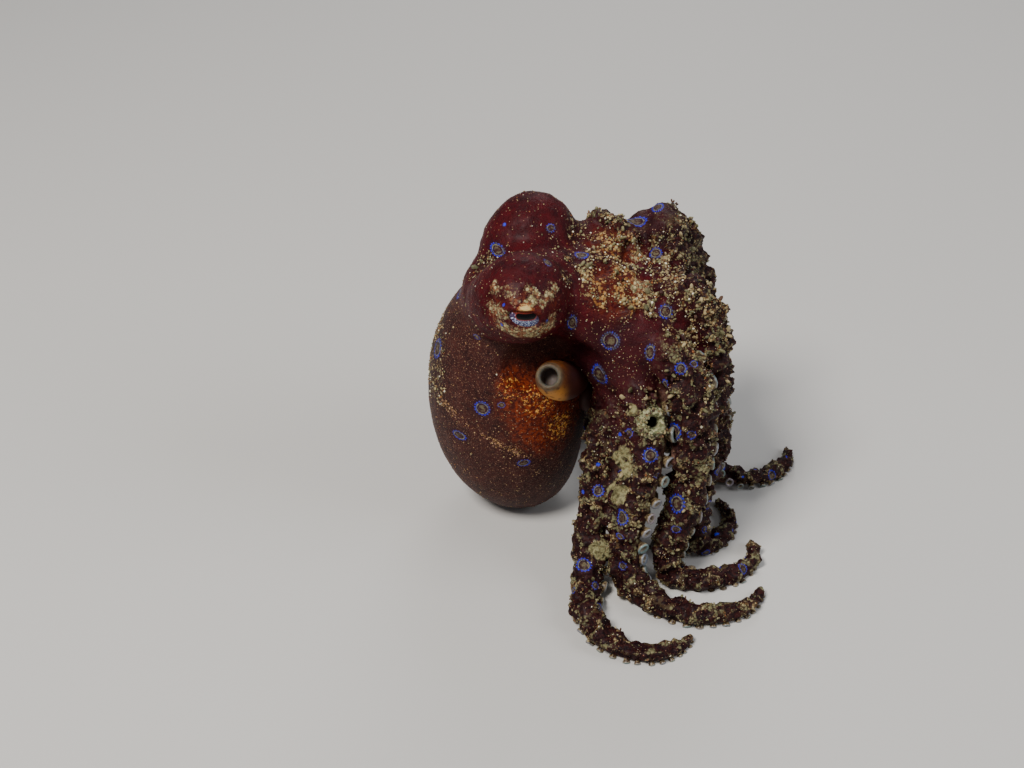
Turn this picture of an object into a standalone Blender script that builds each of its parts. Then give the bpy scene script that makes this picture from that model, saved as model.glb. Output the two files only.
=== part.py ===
"""A small ringed octopus at rest, life size, in metres, +Z up, standing on z = 0.

The mantle hangs down behind the head with its tip on the ground, the two eye bumps stand on top, and the eight
arms leave a crown in front of the head, come down to the ground on their sucker side and curl there.
Lengths are worked out in millimetres and scaled to metres as each body is finished.
"""

import math

import bmesh
import bpy
from mathutils import Matrix, Vector

MM = 0.001
GAP = 0.35  # free space between bodies that meet
X_AXIS, Y_AXIS, Z_AXIS = (Vector(row) for row in Matrix.Identity(3))

# Mantle: the sac that holds the organs.
MANTLE_LENGTH = 48.0
MANTLE_WIDTH = 27.8
MANTLE_CENTRE = Vector((-9.6, 15.2, 23.2))
MANTLE_BACK_BULGE = 2.6  # how far the middle stands out towards the back
MANTLE_FULLNESS = 2.35  # 2 is an ellipse, more is squarer

# Head: a core between two raised eye bumps.
HEAD_CENTRE = Vector((-5.5, 12.0, 45.0))
HEAD_RADII = Vector((9.5, 9.0, 8.0))
NECK_CENTRE = Vector((-6.0, 13.5, 38.0))
NECK_RADII = Vector((8.8, 8.8, 9.0))
NAPE_CENTRE = Vector((-11.0, 12.8, 44.0))  # fills the step from the head down to the mantle's back
NAPE_RADII = Vector((7.4, 9.6, 6.4))
EYE_BUMP_RADIUS = 7.6
EYE_BUMPS = {"right": Vector((-7.8, 4.3, 48.0)), "left": Vector((-6.2, 20.2, 50.3))}
# How each eye bump slopes back and down into the nape, and how much thinner it is there.
BUMP_SLOPES = {"right": Vector((-2.5, 1.5, -1.8)), "left": Vector((-2.5, -1.5, -1.8))}
BUMP_THINNING = 0.8
EYE_RADIUS = 4.6
EYE_DEPTH = 3.8  # eyeball centre, out from the bump's centre
EYE_TILT = math.radians(2.0)  # how far each eye looks up

# Crown: where the arms join the head.
CROWN_CENTRE = Vector((10.5, 12.0, 37.5))
CROWN_RADIUS = 11.8
ROOT_RING_RADIUS = 7.2
SHOULDER_CENTRE = Vector((6.0, 20.5, 46.2))  # the hump from which the raised left arm rises
SHOULDER_RADIUS = 7.2

# Arms.
ARM_ROOT_RADIUS = 4.3
ARM_TIP_RADIUS = 0.65
ARM_TAPER = 0.7
ARM_SIDES = 10
ARM_STEP = 3.9  # spacing of the cross-sections
ORAL_FLATNESS = 0.74  # height of the sucker side over the height of the round side
ARM_SPLITS = (0.0, 0.40, 0.70, 1.0)  # base, middle and tip, as shares of the length
ARM_LENGTH_NAMES = ("base", "middle", "tip")

# Each arm: angle of its root round the crown from the top, the way its suckers face in plan while it hangs, the
# points it passes over in the air, touchdown (x, y), heading there, how far it then curls, and its whole length.
# Right arms are on the -Y side. Angles are in degrees.
ARMS = {
    "right_1": (22.5, 180.0, [(19.8, 8.0, 44.5), (23.3, 3.5, 22.0)], (23.5, -1.5), 30.0, 110.0, 70.0),
    "right_2": (67.5, 60.0, [(18.5, -1.0, 35.0), (19.2, -4.5, 17.0)], (18.0, -9.5), -12.0, 118.0, 68.0),
    "right_3": (112.5, -10.0, [(12.9, -3.0, 25.0)], (11.2, -13.0), -45.0, 120.0, 66.0),
    "right_4": (157.5, -10.0, [(6.0, 1.4, 19.5)], (2.6, -13.0), -97.0, 165.0, 66.0),
    "left_1": (-22.5, 200.0, [(16.5, 26.5, 49.0), (24.0, 30.0, 29.0)], (27.0, 30.5), 20.0, 150.0, 75.0),
    "left_2": (-67.5, -90.0, [(21.5, 21.5, 33.0), (26.5, 20.0, 15.0)], (29.0, 17.5), -10.0, 110.0, 66.0),
    "left_3": (-112.5, -60.0, [(16.5, 27.0, 24.0)], (16.5, 36.0), 60.0, 220.0, 66.0),
    "left_4": (-157.5, 0.0, [(8.0, 24.5, 18.0)], (5.0, 33.5), 120.0, 215.0, 66.0),
}

# Webs between neighbouring arms: how far down the arms each one reaches.
WEB_DEPTHS = {
    ("right_1", "right_2"): 33.0,
    ("right_3", "right_4"): 34.0,
    ("right_4", "left_4"): 25.0,
    ("left_4", "left_3"): 29.0,
    ("left_3", "left_2"): 33.0,
    ("left_2", "left_1"): 33.0,
    ("left_1", "right_1"): 15.0,
}
WEB_START = 3.0
WEB_THICKNESS = 1.6
WEB_ARCH = 0.22  # how far its free edge draws back between the arms
WEB_SEGMENTS = (5, 6)

# Funnel: the jet tube below the right eye.
FUNNEL_PATH = (Vector((-0.3, 9.0, 29.5)), Vector((-1.8, 1.0, 32.5)), Vector((-3.9, -3.4, 38.2)))
FUNNEL_AIM = Vector((-0.25, -0.75, 0.6))
FUNNEL_ROOT_RADIUS = 4.2
FUNNEL_MOUTH_RADIUS = 2.4
FUNNEL_BORE_RADIUS = 1.35
FUNNEL_BORE_DEPTH = 5.0
FUNNEL_STATIONS = 8
POCKET_CENTRE = Vector((-3.5, 1.5, 36.0))
POCKET_RADII = Vector((8.6, 5.8, 5.6))

# Mesh fineness.
BLEND_VOXEL = 0.8
BLEND_SMOOTHING = 10
TRUNK_TRIANGLES = 1450
MANTLE_SEGMENTS = (22, 15)
EYE_SEGMENTS = (14, 8)

COLOURS = {
    "mantle_skin": ((0.085, 0.028, 0.026), 0.48),
    "head_skin": ((0.085, 0.018, 0.022), 0.48),
    "arm_skin": ((0.17, 0.115, 0.07), 0.62),
    "funnel_skin": ((0.42, 0.16, 0.045), 0.35),
    "eye": ((0.30, 0.22, 0.20), 0.18),
}


def clear_scene():
    for item in list(bpy.data.objects):
        bpy.data.objects.remove(item)


def new_collection(name):
    collection = bpy.data.collections.new(name)
    bpy.context.scene.collection.children.link(collection)
    return collection


def skin_material(slot):
    colour, roughness = COLOURS[slot]
    material = bpy.data.materials.get(slot) or bpy.data.materials.new(slot)
    material.use_nodes = True
    shader = material.node_tree.nodes["Principled BSDF"]
    shader.inputs["Base Color"].default_value = (*colour, 1.0)
    shader.inputs["Roughness"].default_value = roughness
    material.diffuse_color = (*colour, 1.0)
    return material


def finish(name, bm, collection, slot=None):
    """The bmesh, in millimetres, as a closed object in metres."""
    bmesh.ops.recalc_face_normals(bm, faces=bm.faces)
    bmesh.ops.scale(bm, vec=(MM, MM, MM), verts=bm.verts)
    mesh = bpy.data.meshes.new(name)
    bm.to_mesh(mesh)
    bm.free()
    item = bpy.data.objects.new(name, mesh)
    collection.objects.link(item)
    if slot:
        mesh.materials.append(skin_material(slot))
    return item


def add_ball(bm, centre, radii, segments=(24, 16), turn=None):
    """An ellipsoid added to bm. radii is one number or three."""
    size = Vector((radii,) * 3) if isinstance(radii, float) else radii
    place = Matrix.Translation(centre) @ (turn or Matrix.Identity(4)) @ Matrix.Diagonal((*size, 1.0))
    return bmesh.ops.create_uvsphere(bm, u_segments=segments[0], v_segments=segments[1], radius=1.0, matrix=place)


def apply_modifiers(item):
    """Replaces the object's mesh with what its modifiers make of it."""
    bpy.context.view_layer.update()
    graph = bpy.context.evaluated_depsgraph_get()
    made = bpy.data.meshes.new_from_object(item.evaluated_get(graph))
    item.modifiers.clear()
    item.data = made
    return item


def blend_shapes(item, triangles):
    """Melts the overlapping shapes of one object into a single smooth body of about that many triangles."""
    remesh = item.modifiers.new("blend", "REMESH")
    remesh.mode = "VOXEL"
    remesh.voxel_size = BLEND_VOXEL * MM
    smooth = item.modifiers.new("soften", "SMOOTH")
    smooth.iterations = BLEND_SMOOTHING
    apply_modifiers(item)
    thin = item.modifiers.new("thin", "DECIMATE")
    thin.ratio = triangles / (2 * len(item.data.polygons))
    return apply_modifiers(item)


def copy_of(item, name, collection):
    twin = item.copy()
    twin.data = item.data.copy()
    twin.name = name
    collection.objects.link(twin)
    return twin


def swollen(item, amount, collection):
    """A copy that stands out by amount all round, to cut its neighbours clear of it."""
    twin = copy_of(item, item.name + "_clearance", collection)
    swell = twin.modifiers.new("swell", "DISPLACE")
    swell.strength = amount * MM
    swell.mid_level = 0.0
    return apply_modifiers(twin)


def cut(item, cutter):
    """Takes the cutter's shape out of the object, and hides the cutter."""
    boolean = item.modifiers.new("cut", "BOOLEAN")
    boolean.operation = "DIFFERENCE"
    boolean.object = cutter
    apply_modifiers(item)
    cutter.hide_render = True
    cutter.display_type = "WIRE"
    return keep_largest_body(item)


def keep_largest_body(item):
    """Drops the loose crumbs that a cut can leave, even where they touch at a corner."""
    bm = bmesh.new()
    bm.from_mesh(item.data)
    bodies, seen = [], set()
    for first in bm.faces:
        if first in seen:
            continue
        seen.add(first)
        body = [first]
        for face in body:
            for other in [other for edge in face.edges for other in edge.link_faces]:
                if other not in seen:
                    seen.add(other)
                    body.append(other)
        bodies.append(body)
    bodies.sort(key=len)
    crumbs = [face for body in bodies[:-1] for face in body]
    bmesh.ops.delete(bm, geom=crumbs, context="FACES")
    bm.to_mesh(item.data)
    bm.free()
    return item


def smooth_step(share):
    share = min(1.0, max(0.0, share))
    return share * share * (3.0 - 2.0 * share)


def hermite(start, leave, end, arrive, share):
    """A point on the curve that leaves start along leave and reaches end along arrive."""
    s2, s3 = share**2, share**3
    return (
        start * (2 * s3 - 3 * s2 + 1)
        + leave * (s3 - 2 * s2 + share)
        + end * (3 * s2 - 2 * s3)
        + arrive * (s3 - s2)
    )


def crown_axes():
    """Unit vectors at the crown: towards the mouth, towards the back of the animal, and to its right."""
    mouthward = (CROWN_CENTRE - HEAD_CENTRE).normalized()
    dorsal = (Z_AXIS - mouthward * mouthward.z).normalized()
    return mouthward, dorsal, mouthward.cross(dorsal)


def arm_radius(distance, length):
    share = min(1.0, distance / length)
    return ARM_TIP_RADIUS + (ARM_ROOT_RADIUS - ARM_TIP_RADIUS) * (1.0 - share) ** ARM_TAPER


def lying_height(distance, length):
    """How high the middle of the arm lies when its sucker side is pressed a little flat on the ground."""
    return arm_radius(distance, length) * ORAL_FLATNESS - 0.15


def arm_root(root_angle):
    """Where an arm leaves the crown, and the way out from the crown's axis there."""
    mouthward, dorsal, right = crown_axes()
    angle = math.radians(root_angle)
    outward = dorsal * math.cos(angle) + right * math.sin(angle)
    return CROWN_CENTRE + outward * ROOT_RING_RADIUS, outward


def arm_line(shape):
    """Points every half millimetre along the middle of an arm, out of the crown, over the points it passes, down to
    the ground and round in a curl. Comes with the index at which it lies down."""
    root_angle, _, passes, touch, heading, curl, whole = shape
    step = 0.5
    root, outward = arm_root(root_angle)
    heading, curl = math.radians(heading), math.radians(curl)
    knots = [root, *(Vector(point) for point in passes)]
    knots.append(Vector((*touch, 0.0)))
    knots[-1].z = lying_height(sum((b - a).length for a, b in zip(knots, knots[1:])), whole)
    ways = [(crown_axes()[0] * 0.5 + outward * 0.8).normalized()]
    ways += [((after - before).normalized()) for before, after in zip(knots, knots[2:])]
    ways.append(Vector((math.cos(heading), math.sin(heading), -0.45)).normalized())
    fine = []
    for k, (start, end) in enumerate(zip(knots, knots[1:])):
        stretch = (end - start).length
        fine += [hermite(start, ways[k] * stretch, end, ways[k + 1] * stretch, i / 40.0) for i in range(40)]
    line, walked = [fine[0]], 0.0
    for a, b in zip(fine, fine[1:] + [knots[-1]]):
        length = (b - a).length
        while walked + length >= step * len(line):
            line.append(a.lerp(b, (step * len(line) - walked) / length))
        walked += length
    landed = len(line) - 1
    start_height = line[-1].z
    steps = int(whole / step) - landed
    for i in range(1, steps + 1):
        share = i / steps
        turn = heading + curl * share**1.4
        here = line[-1] + Vector((math.cos(turn), math.sin(turn), 0.0)) * step
        settled = lying_height(step * len(line), whole)
        here.z = settled + (start_height - settled) * (1.0 - smooth_step(share * 4.0))
        line.append(here)
    return line, landed, step


def arm_frames(shape, line, landed):
    """For every point of the line, the way ahead and the way the suckers face. The facing turns little by little from
    the mouth, through its own way while the arm hangs, to straight down where it lies."""
    sideways = math.radians(shape[1])
    hanging = Vector((math.cos(sideways), math.sin(sideways), -0.3))
    facing = crown_axes()[0] * 0.35 - arm_root(shape[0])[1]
    frames = []
    for i in range(len(line)):
        along = (line[min(len(line) - 1, i + 3)] - line[max(0, i - 3)]).normalized()
        down = smooth_step((i / landed - 0.4) / 0.5)
        facing = facing + (hanging * (1.0 - down) - Z_AXIS * down) * 0.12
        facing = (facing - along * facing.dot(along)).normalized()
        frames.append((along, facing))
    return frames


def arm_sections(shape, start, end, swell=0.0):
    """Cross-sections from one distance along the arm to another: centre, sucker side, sideways and radius."""
    line, landed, step = arm_line(shape)
    frames = arm_frames(shape, line, landed)
    count = max(2, round((end - start) / ARM_STEP))
    sections = []
    for i in range(count + 1):
        distance = start + (end - start) * i / count
        index = min(len(line) - 1, round(distance / step))
        along, facing = frames[index]
        sections.append((line[index], facing, along.cross(facing), arm_radius(distance, shape[-1]) + swell))
    return sections


def swept_body(sections):
    """A closed body whose round side is away from the suckers and whose sucker side is flatter. It is one disc,
    extruded from section to section."""
    bm = bmesh.new()
    around = bm.verts.layers.float.new("around")
    disc = bmesh.ops.create_circle(bm, cap_ends=True, segments=ARM_SIDES, radius=1.0)["verts"]
    for vert in disc:
        vert[around] = math.atan2(vert.co.y, vert.co.x)

    def place(verts, section):
        centre, facing, sideways, radius = section
        for vert in verts:
            towards, across = math.cos(vert[around]), math.sin(vert[around])
            towards *= ORAL_FLATNESS if towards > 0.0 else 1.0
            vert.co = centre + (facing * towards + sideways * across) * radius

    place(disc, sections[0])
    cap = disc[0].link_faces[0]
    for i, section in enumerate(sections[1:]):
        grown = bmesh.ops.extrude_face_region(bm, geom=[cap])["geom"]
        if i:
            bmesh.ops.delete(bm, geom=[cap], context="FACES_ONLY")
        cap = next(part for part in grown if isinstance(part, bmesh.types.BMFace))
        place([part for part in grown if isinstance(part, bmesh.types.BMVert)], section)
    return bm


def press_on_ground(bm):
    """Flattens whatever would reach below the ground."""
    for vert in bm.verts:
        vert.co.z = max(0.0, vert.co.z)


def make_trunk(collection):
    """Head, eye bumps and crown as one blended body, before it is parted."""
    bm = bmesh.new()
    add_ball(bm, HEAD_CENTRE, HEAD_RADII)
    add_ball(bm, NECK_CENTRE, NECK_RADII)
    add_ball(bm, NAPE_CENTRE, NAPE_RADII)
    for side, centre in EYE_BUMPS.items():
        for share in (0.0, 0.33, 0.67, 1.0):
            add_ball(bm, centre + BUMP_SLOPES[side] * share, EYE_BUMP_RADIUS - BUMP_THINNING * share)
    add_ball(bm, HEAD_CENTRE.lerp(CROWN_CENTRE, 0.5), CROWN_RADIUS * 0.85)
    add_ball(bm, CROWN_CENTRE, CROWN_RADIUS)
    add_ball(bm, SHOULDER_CENTRE, SHOULDER_RADIUS)
    return blend_shapes(finish("trunk", bm, collection), TRUNK_TRIANGLES)


def make_mantle(collection):
    """The mantle sac: a squared-off egg, bowed towards the back and flat where its tip rests."""
    bm = bmesh.new()
    bmesh.ops.create_uvsphere(bm, u_segments=MANTLE_SEGMENTS[0], v_segments=MANTLE_SEGMENTS[1], radius=1.0)
    for vert in bm.verts:
        height = vert.co.z
        ring = math.hypot(vert.co.x, vert.co.y)
        if ring > 1e-6:
            wanted = (1.0 - abs(height) ** MANTLE_FULLNESS) ** (1.0 / MANTLE_FULLNESS)
            vert.co.x *= wanted / ring
            vert.co.y *= wanted / ring
        vert.co.x *= MANTLE_WIDTH / 2
        vert.co.y *= MANTLE_WIDTH / 2
        vert.co.x += MANTLE_BACK_BULGE * (height**2 - 0.35)
        vert.co.z *= MANTLE_LENGTH / 2
        vert.co += MANTLE_CENTRE
    press_on_ground(bm)
    bmesh.ops.dissolve_degenerate(bm, dist=0.01, edges=bm.edges)
    return finish("mantle", bm, collection, "mantle_skin")


def half_space(name, point, normal, collection):
    """A big box whose face lies at point and which fills the side that normal points to."""
    size = 90.0
    bm = bmesh.new()
    turn = normal.to_track_quat("Z", "Y").to_matrix().to_4x4()
    place = Matrix.Translation(point + normal * size / 2) @ turn
    bmesh.ops.create_cube(bm, size=size, matrix=place)
    return finish(name, bm, collection)


def make_eye(side, collection):
    """One eyeball, set in its bump, and the socket that clears it."""
    outward = -Y_AXIS if side == "right" else Y_AXIS
    look = outward * math.cos(EYE_TILT) + Z_AXIS * math.sin(EYE_TILT)
    centre = EYE_BUMPS[side] + look * EYE_DEPTH
    turn = look.to_track_quat("Z", "Y").to_matrix().to_4x4()
    bm = bmesh.new()
    add_ball(bm, centre, EYE_RADIUS, EYE_SEGMENTS, turn)
    return finish("eye_" + side, bm, collection, "eye")


def funnel_sections(swell=0.0):
    root, bend, mouth = FUNNEL_PATH
    leave, arrive = (bend - root) * 2, FUNNEL_AIM * (mouth - bend).length * 1.5
    sections = []
    for i in range(FUNNEL_STATIONS + 1):
        share = i / FUNNEL_STATIONS
        centre = hermite(root, leave, mouth, arrive, share)
        ahead = hermite(root, leave, mouth, arrive, min(1.0, share + 0.02))
        behind = hermite(root, leave, mouth, arrive, max(0.0, share - 0.02))
        along = (ahead - behind).normalized()
        facing = (Y_AXIS - along * along.y).normalized()
        radius = FUNNEL_ROOT_RADIUS + (FUNNEL_MOUTH_RADIUS - FUNNEL_ROOT_RADIUS) * share
        sections.append((centre, facing, along.cross(facing), radius + swell))
    return sections


def make_funnel(collection, cutters):
    funnel = finish("funnel", swept_body(funnel_sections()), collection, "funnel_skin")
    mouth = FUNNEL_PATH[2]
    bm = bmesh.new()
    turn = FUNNEL_AIM.to_track_quat("Z", "Y").to_matrix().to_4x4()
    bmesh.ops.create_cone(
        bm,
        cap_ends=True,
        segments=12,
        radius1=FUNNEL_BORE_RADIUS * 0.8,
        radius2=FUNNEL_BORE_RADIUS * 1.1,
        depth=FUNNEL_BORE_DEPTH * 2,
        matrix=Matrix.Translation(mouth) @ turn,
    )
    return cut(funnel, finish("funnel_bore", bm, cutters))


def make_arm(name, shape, collection, crown_clearance):
    """One arm in three lengths, each a node of its own."""
    lengths = []
    for label, start, end in zip(ARM_LENGTH_NAMES, ARM_SPLITS, ARM_SPLITS[1:]):
        low = start * shape[-1] + (GAP / 2 if start else 0.0)
        high = end * shape[-1] - (GAP / 2 if end < 1.0 else 0.0)
        bm = swept_body(arm_sections(shape, low, high))
        press_on_ground(bm)
        length = finish(f"arm_{name}_{label}", bm, collection, "arm_skin")
        if label == "base":
            cut(length, crown_clearance)
        lengths.append(length)
    return lengths


def make_web(pair, depth, collection, cutters, clearances):
    """The skin between two neighbouring arms, a sheet whose free edge is drawn back in the middle."""
    sides = [arm_line(ARMS[name])[0] for name in pair]
    bm = bmesh.new()
    bmesh.ops.create_grid(bm, x_segments=WEB_SEGMENTS[0], y_segments=WEB_SEGMENTS[1], size=0.5)
    for vert in bm.verts:
        across, down = vert.co.x + 0.5, vert.co.y + 0.5
        reach = depth * (1.0 - WEB_ARCH * math.sin(math.pi * across))
        index = round((WEB_START + (reach - WEB_START) * down) * 2)
        vert.co = sides[0][index].lerp(sides[1][index], across)
    web = finish(f"web_{pair[0]}_{pair[1]}", bm, collection, "arm_skin")
    thicken = web.modifiers.new("thicken", "SOLIDIFY")
    thicken.thickness = WEB_THICKNESS * MM
    thicken.offset = 0.0
    apply_modifiers(web)
    for clearance in clearances:
        cut(web, clearance)
    return web


def centre_on_origin(items):
    """Moves the whole animal so that the middle of its box stands over the origin."""
    corners = [vert.co for item in items for vert in item.data.vertices]
    middle = Vector(
        (
            (min(c.x for c in corners) + max(c.x for c in corners)) / 2,
            (min(c.y for c in corners) + max(c.y for c in corners)) / 2,
            0.0,
        )
    )
    for item in items:
        item.data.transform(Matrix.Translation(-middle))


def main():
    clear_scene()
    body = new_collection("octopus")
    cutters = new_collection("cutters")

    trunk = make_trunk(cutters)
    trunk_clearance = swollen(trunk, GAP, cutters)
    mouthward = crown_axes()[0]
    parting = HEAD_CENTRE.lerp(CROWN_CENTRE, 0.52)

    funnel = make_funnel(body, cutters)
    funnel_clearance = finish("funnel_clearance", swept_body(funnel_sections(GAP)), cutters)

    mantle = cut(make_mantle(body), trunk_clearance)
    pocket = bmesh.new()
    add_ball(pocket, POCKET_CENTRE, POCKET_RADII)
    cut(mantle, finish("funnel_pocket", pocket, cutters))
    cut(mantle, funnel_clearance)

    head = copy_of(trunk, "head", body)
    head.data.materials.append(skin_material("head_skin"))
    cut(head, half_space("head_end", parting - mouthward * GAP / 2, mouthward, cutters))
    crown = copy_of(trunk, "arm_crown", body)
    crown.data.materials.append(skin_material("arm_skin"))
    cut(crown, half_space("crown_end", parting + mouthward * GAP / 2, -mouthward, cutters))
    for part in (head, crown):
        cut(part, funnel_clearance)

    eyes = [make_eye(side, body) for side in EYE_BUMPS]
    for eye in eyes:
        cut(head, swollen(eye, GAP * 0.6, cutters))

    lengths = []
    for name, shape in ARMS.items():
        lengths += make_arm(name, shape, body, trunk_clearance)

    roots = {
        name: finish(f"arm_{name}_clearance", swept_body(arm_sections(shape, 0.0, 40.0, GAP * 1.6)), cutters)
        for name, shape in ARMS.items()
    }
    webs = []
    for pair, depth in WEB_DEPTHS.items():
        neighbours = [trunk_clearance, roots[pair[0]], roots[pair[1]]]
        webs.append(make_web(pair, depth, body, cutters, neighbours))

    trunk.hide_render = True
    trunk.display_type = "WIRE"
    centre_on_origin([mantle, head, crown, funnel, *eyes, *lengths, *webs])


main()
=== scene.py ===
import math
import random

import bmesh
import bpy
import numpy as np
from mathutils import Matrix, Vector, noise
from mathutils.kdtree import KDTree


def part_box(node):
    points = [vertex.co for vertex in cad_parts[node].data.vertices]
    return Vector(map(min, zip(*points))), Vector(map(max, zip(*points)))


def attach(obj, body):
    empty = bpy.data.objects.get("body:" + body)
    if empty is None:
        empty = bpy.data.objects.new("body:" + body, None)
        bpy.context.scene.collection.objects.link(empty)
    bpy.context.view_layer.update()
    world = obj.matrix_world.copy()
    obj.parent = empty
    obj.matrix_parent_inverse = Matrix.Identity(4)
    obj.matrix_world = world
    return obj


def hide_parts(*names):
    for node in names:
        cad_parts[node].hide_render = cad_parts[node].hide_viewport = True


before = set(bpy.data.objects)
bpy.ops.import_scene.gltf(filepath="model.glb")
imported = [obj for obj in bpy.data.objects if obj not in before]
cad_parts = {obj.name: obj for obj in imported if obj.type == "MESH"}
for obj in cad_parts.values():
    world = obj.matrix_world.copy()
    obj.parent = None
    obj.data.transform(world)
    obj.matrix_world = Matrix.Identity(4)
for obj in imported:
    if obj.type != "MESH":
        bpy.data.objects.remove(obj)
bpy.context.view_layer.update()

# The stand. The model is laid out in millimetres round one origin, which is found from where the
# frame holds the right eye. It stands on a plain pale floor under a large soft lamp, two weaker
# ones and a pale sky.
MM = 0.001
X_AXIS, Y_AXIS, Z_AXIS = (Vector(row) for row in Matrix.Identity(3))
EYE_BUMPS = {"right": Vector((-7.8, 4.3, 48.0)), "left": Vector((-6.2, 20.2, 50.3))}
EYE_DEPTH = 3.8
EYE_TILT = math.radians(2.0)

eye_low, eye_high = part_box("eye_right")
right_eye = EYE_BUMPS["right"] + Vector((0.0, -math.cos(EYE_TILT), math.sin(EYE_TILT))) * EYE_DEPTH
ORIGIN = (eye_low + eye_high) / 2 - right_eye * MM


def linked(name, data):
    item = bpy.data.objects.new(name, data)
    bpy.context.scene.collection.objects.link(item)
    return item


def collect(name, mesh_or_bm, finish, body="root"):
    """A mesh or bmesh in millimetres, as a smooth object in its finish and its place in the frame."""
    if isinstance(mesh_or_bm, bmesh.types.BMesh):
        mesh = bpy.data.meshes.new(name)
        mesh_or_bm.to_mesh(mesh)
        mesh_or_bm.free()
    else:
        mesh = mesh_or_bm
    mesh.transform(Matrix.Translation(ORIGIN) @ Matrix.Scale(MM, 4))
    mesh.shade_smooth()
    mesh.materials.append(finish)
    piece = linked(name, mesh)
    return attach(piece, body) if body else piece


def plain_finish(name, colour, roughness):
    finish = bpy.data.materials.new(name)
    finish.use_nodes = True
    shader = finish.node_tree.nodes["Principled BSDF"]
    shader.inputs["Base Color"].default_value = (*colour, 1.0)
    shader.inputs["Roughness"].default_value = roughness
    return finish


FLOOR_HALF_WIDTH = 1500.0
floor_shape = bmesh.new()
bmesh.ops.create_grid(floor_shape, x_segments=1, y_segments=1, size=FLOOR_HALF_WIDTH)
floor_finish = plain_finish("pale_floor", (0.62, 0.60, 0.57), 0.75)
floor = collect("floor", floor_shape, floor_finish, body=None)

camera_data = bpy.data.cameras.new("camera")
camera_data.lens = 50.0
camera_data.sensor_width = 36.0
camera_data.clip_start = 0.01
camera = linked("camera", camera_data)
CAMERA_ANGLE, CAMERA_DISTANCE = math.radians(35.0), 0.237
look_at = ORIGIN + Vector((-9.67, 8.0, 28.8)) * MM
away = Vector((0.0, -math.cos(CAMERA_ANGLE), math.sin(CAMERA_ANGLE)))
camera.location = look_at + away * CAMERA_DISTANCE
camera.rotation_euler = (math.radians(90.0) - CAMERA_ANGLE, 0.0, 0.0)
bpy.context.scene.camera = camera


LAMP_AIM_HEIGHT = 0.03


def soft_lamp(name, place, size, power, colour):
    lamp_data = bpy.data.lights.new(name, "AREA")
    lamp_data.shape = "DISK"
    lamp_data.size = size
    lamp_data.energy = power
    lamp_data.color = colour
    lamp = linked(name, lamp_data)
    lamp.location = Vector(place)
    aim = Vector((0.0, 0.0, LAMP_AIM_HEIGHT)) - lamp.location
    lamp.rotation_euler = aim.to_track_quat("-Z", "Y").to_euler()
    return lamp


lamps = [
    soft_lamp("main_lamp", (-0.24, -0.24, 0.50), 0.20, 3.7, (1.0, 0.97, 0.93)),
    soft_lamp("side_lamp", (0.42, -0.10, 0.30), 0.28, 1.0, (0.93, 0.96, 1.0)),
    soft_lamp("back_lamp", (0.05, 0.45, 0.35), 0.28, 0.8, (1.0, 1.0, 1.0)),
]
sky = bpy.data.worlds.new("pale_sky")
sky.use_nodes = True
sky.node_tree.nodes["Background"].inputs["Color"].default_value = (0.9, 0.93, 1.0, 1.0)
sky.node_tree.nodes["Background"].inputs["Strength"].default_value = 0.2
bpy.context.scene.world = sky

# The skin. One soft wet hide covers the mantle sac, the head with its two raised eye bumps, the
# crown, the eight arms and the webs between them. It is modelled as overlapping shapes melted into
# one, with the pocket behind the mantle's lip hollowed out, and then drawn into lids, folds and
# warts.
MANTLE_LENGTH, MANTLE_WIDTH = 48.0, 27.8
MANTLE_CENTRE = Vector((-9.6, 15.2, 23.2))
MANTLE_BACK_BULGE, MANTLE_FULLNESS = 2.6, 2.35
HEAD_CENTRE = Vector((-5.5, 12.0, 45.0))
CROWN_CENTRE = Vector((10.5, 12.0, 37.5))
CROWN_RADIUS = 11.8
# Each eye bump slopes back and down into the nape, and narrows on the way.
BUMP_SLOPE = [(0.0, 0.0, 0.0), (-0.8, 0.4, -0.5), (-1.6, 0.9, -1.1)]
BUMP_SLOPE += [(-2.5, 1.5, -1.8), (-3.3, 2.6, -3.0)]
BUMP_RADII = [7.6, 7.45, 7.2, 6.8, 6.2]
EYE_BUMP_BALLS = []
for side, inward, count in (("right", 1.0, 5), ("left", -1.0, 4)):
    for (back, across, down), radius in zip(BUMP_SLOPE[:count], BUMP_RADII):
        centre = EYE_BUMPS[side] + Vector((back, across * inward, down))
        EYE_BUMP_BALLS.append((centre, (radius, radius, radius)))
BALLS = [
    (HEAD_CENTRE, (9.5, 9.0, 8.0)),
    (Vector((-6.0, 13.5, 38.0)), (8.8, 8.8, 9.0)),
    (Vector((-11.0, 12.8, 44.0)), (7.4, 9.6, 6.4)),
    *EYE_BUMP_BALLS,
    (Vector((12.8, 25.3, 49.2)), (3.4, 3.4, 3.4)),
    (HEAD_CENTRE.lerp(CROWN_CENTRE, 0.5), (10.0, 10.0, 10.0)),
    (CROWN_CENTRE, (CROWN_RADIUS, CROWN_RADIUS, CROWN_RADIUS)),
    (Vector((6.0, 20.5, 46.2)), (7.2, 7.2, 7.2)),
]
POCKET_CENTRE, POCKET_RADII = Vector((-3.5, 1.5, 36.0)), (8.6, 5.8, 5.6)
COAT_DEPTH = 0.25  # how far the hide lies inside the solid form

ROOT_RING_RADIUS = 7.2
ARM_ROOT_RADIUS, ARM_TIP_RADIUS, ARM_TAPER = 4.3, 0.65, 0.7
ORAL_FLATNESS, ORAL_SHRINK = 0.74, 0.84
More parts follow.
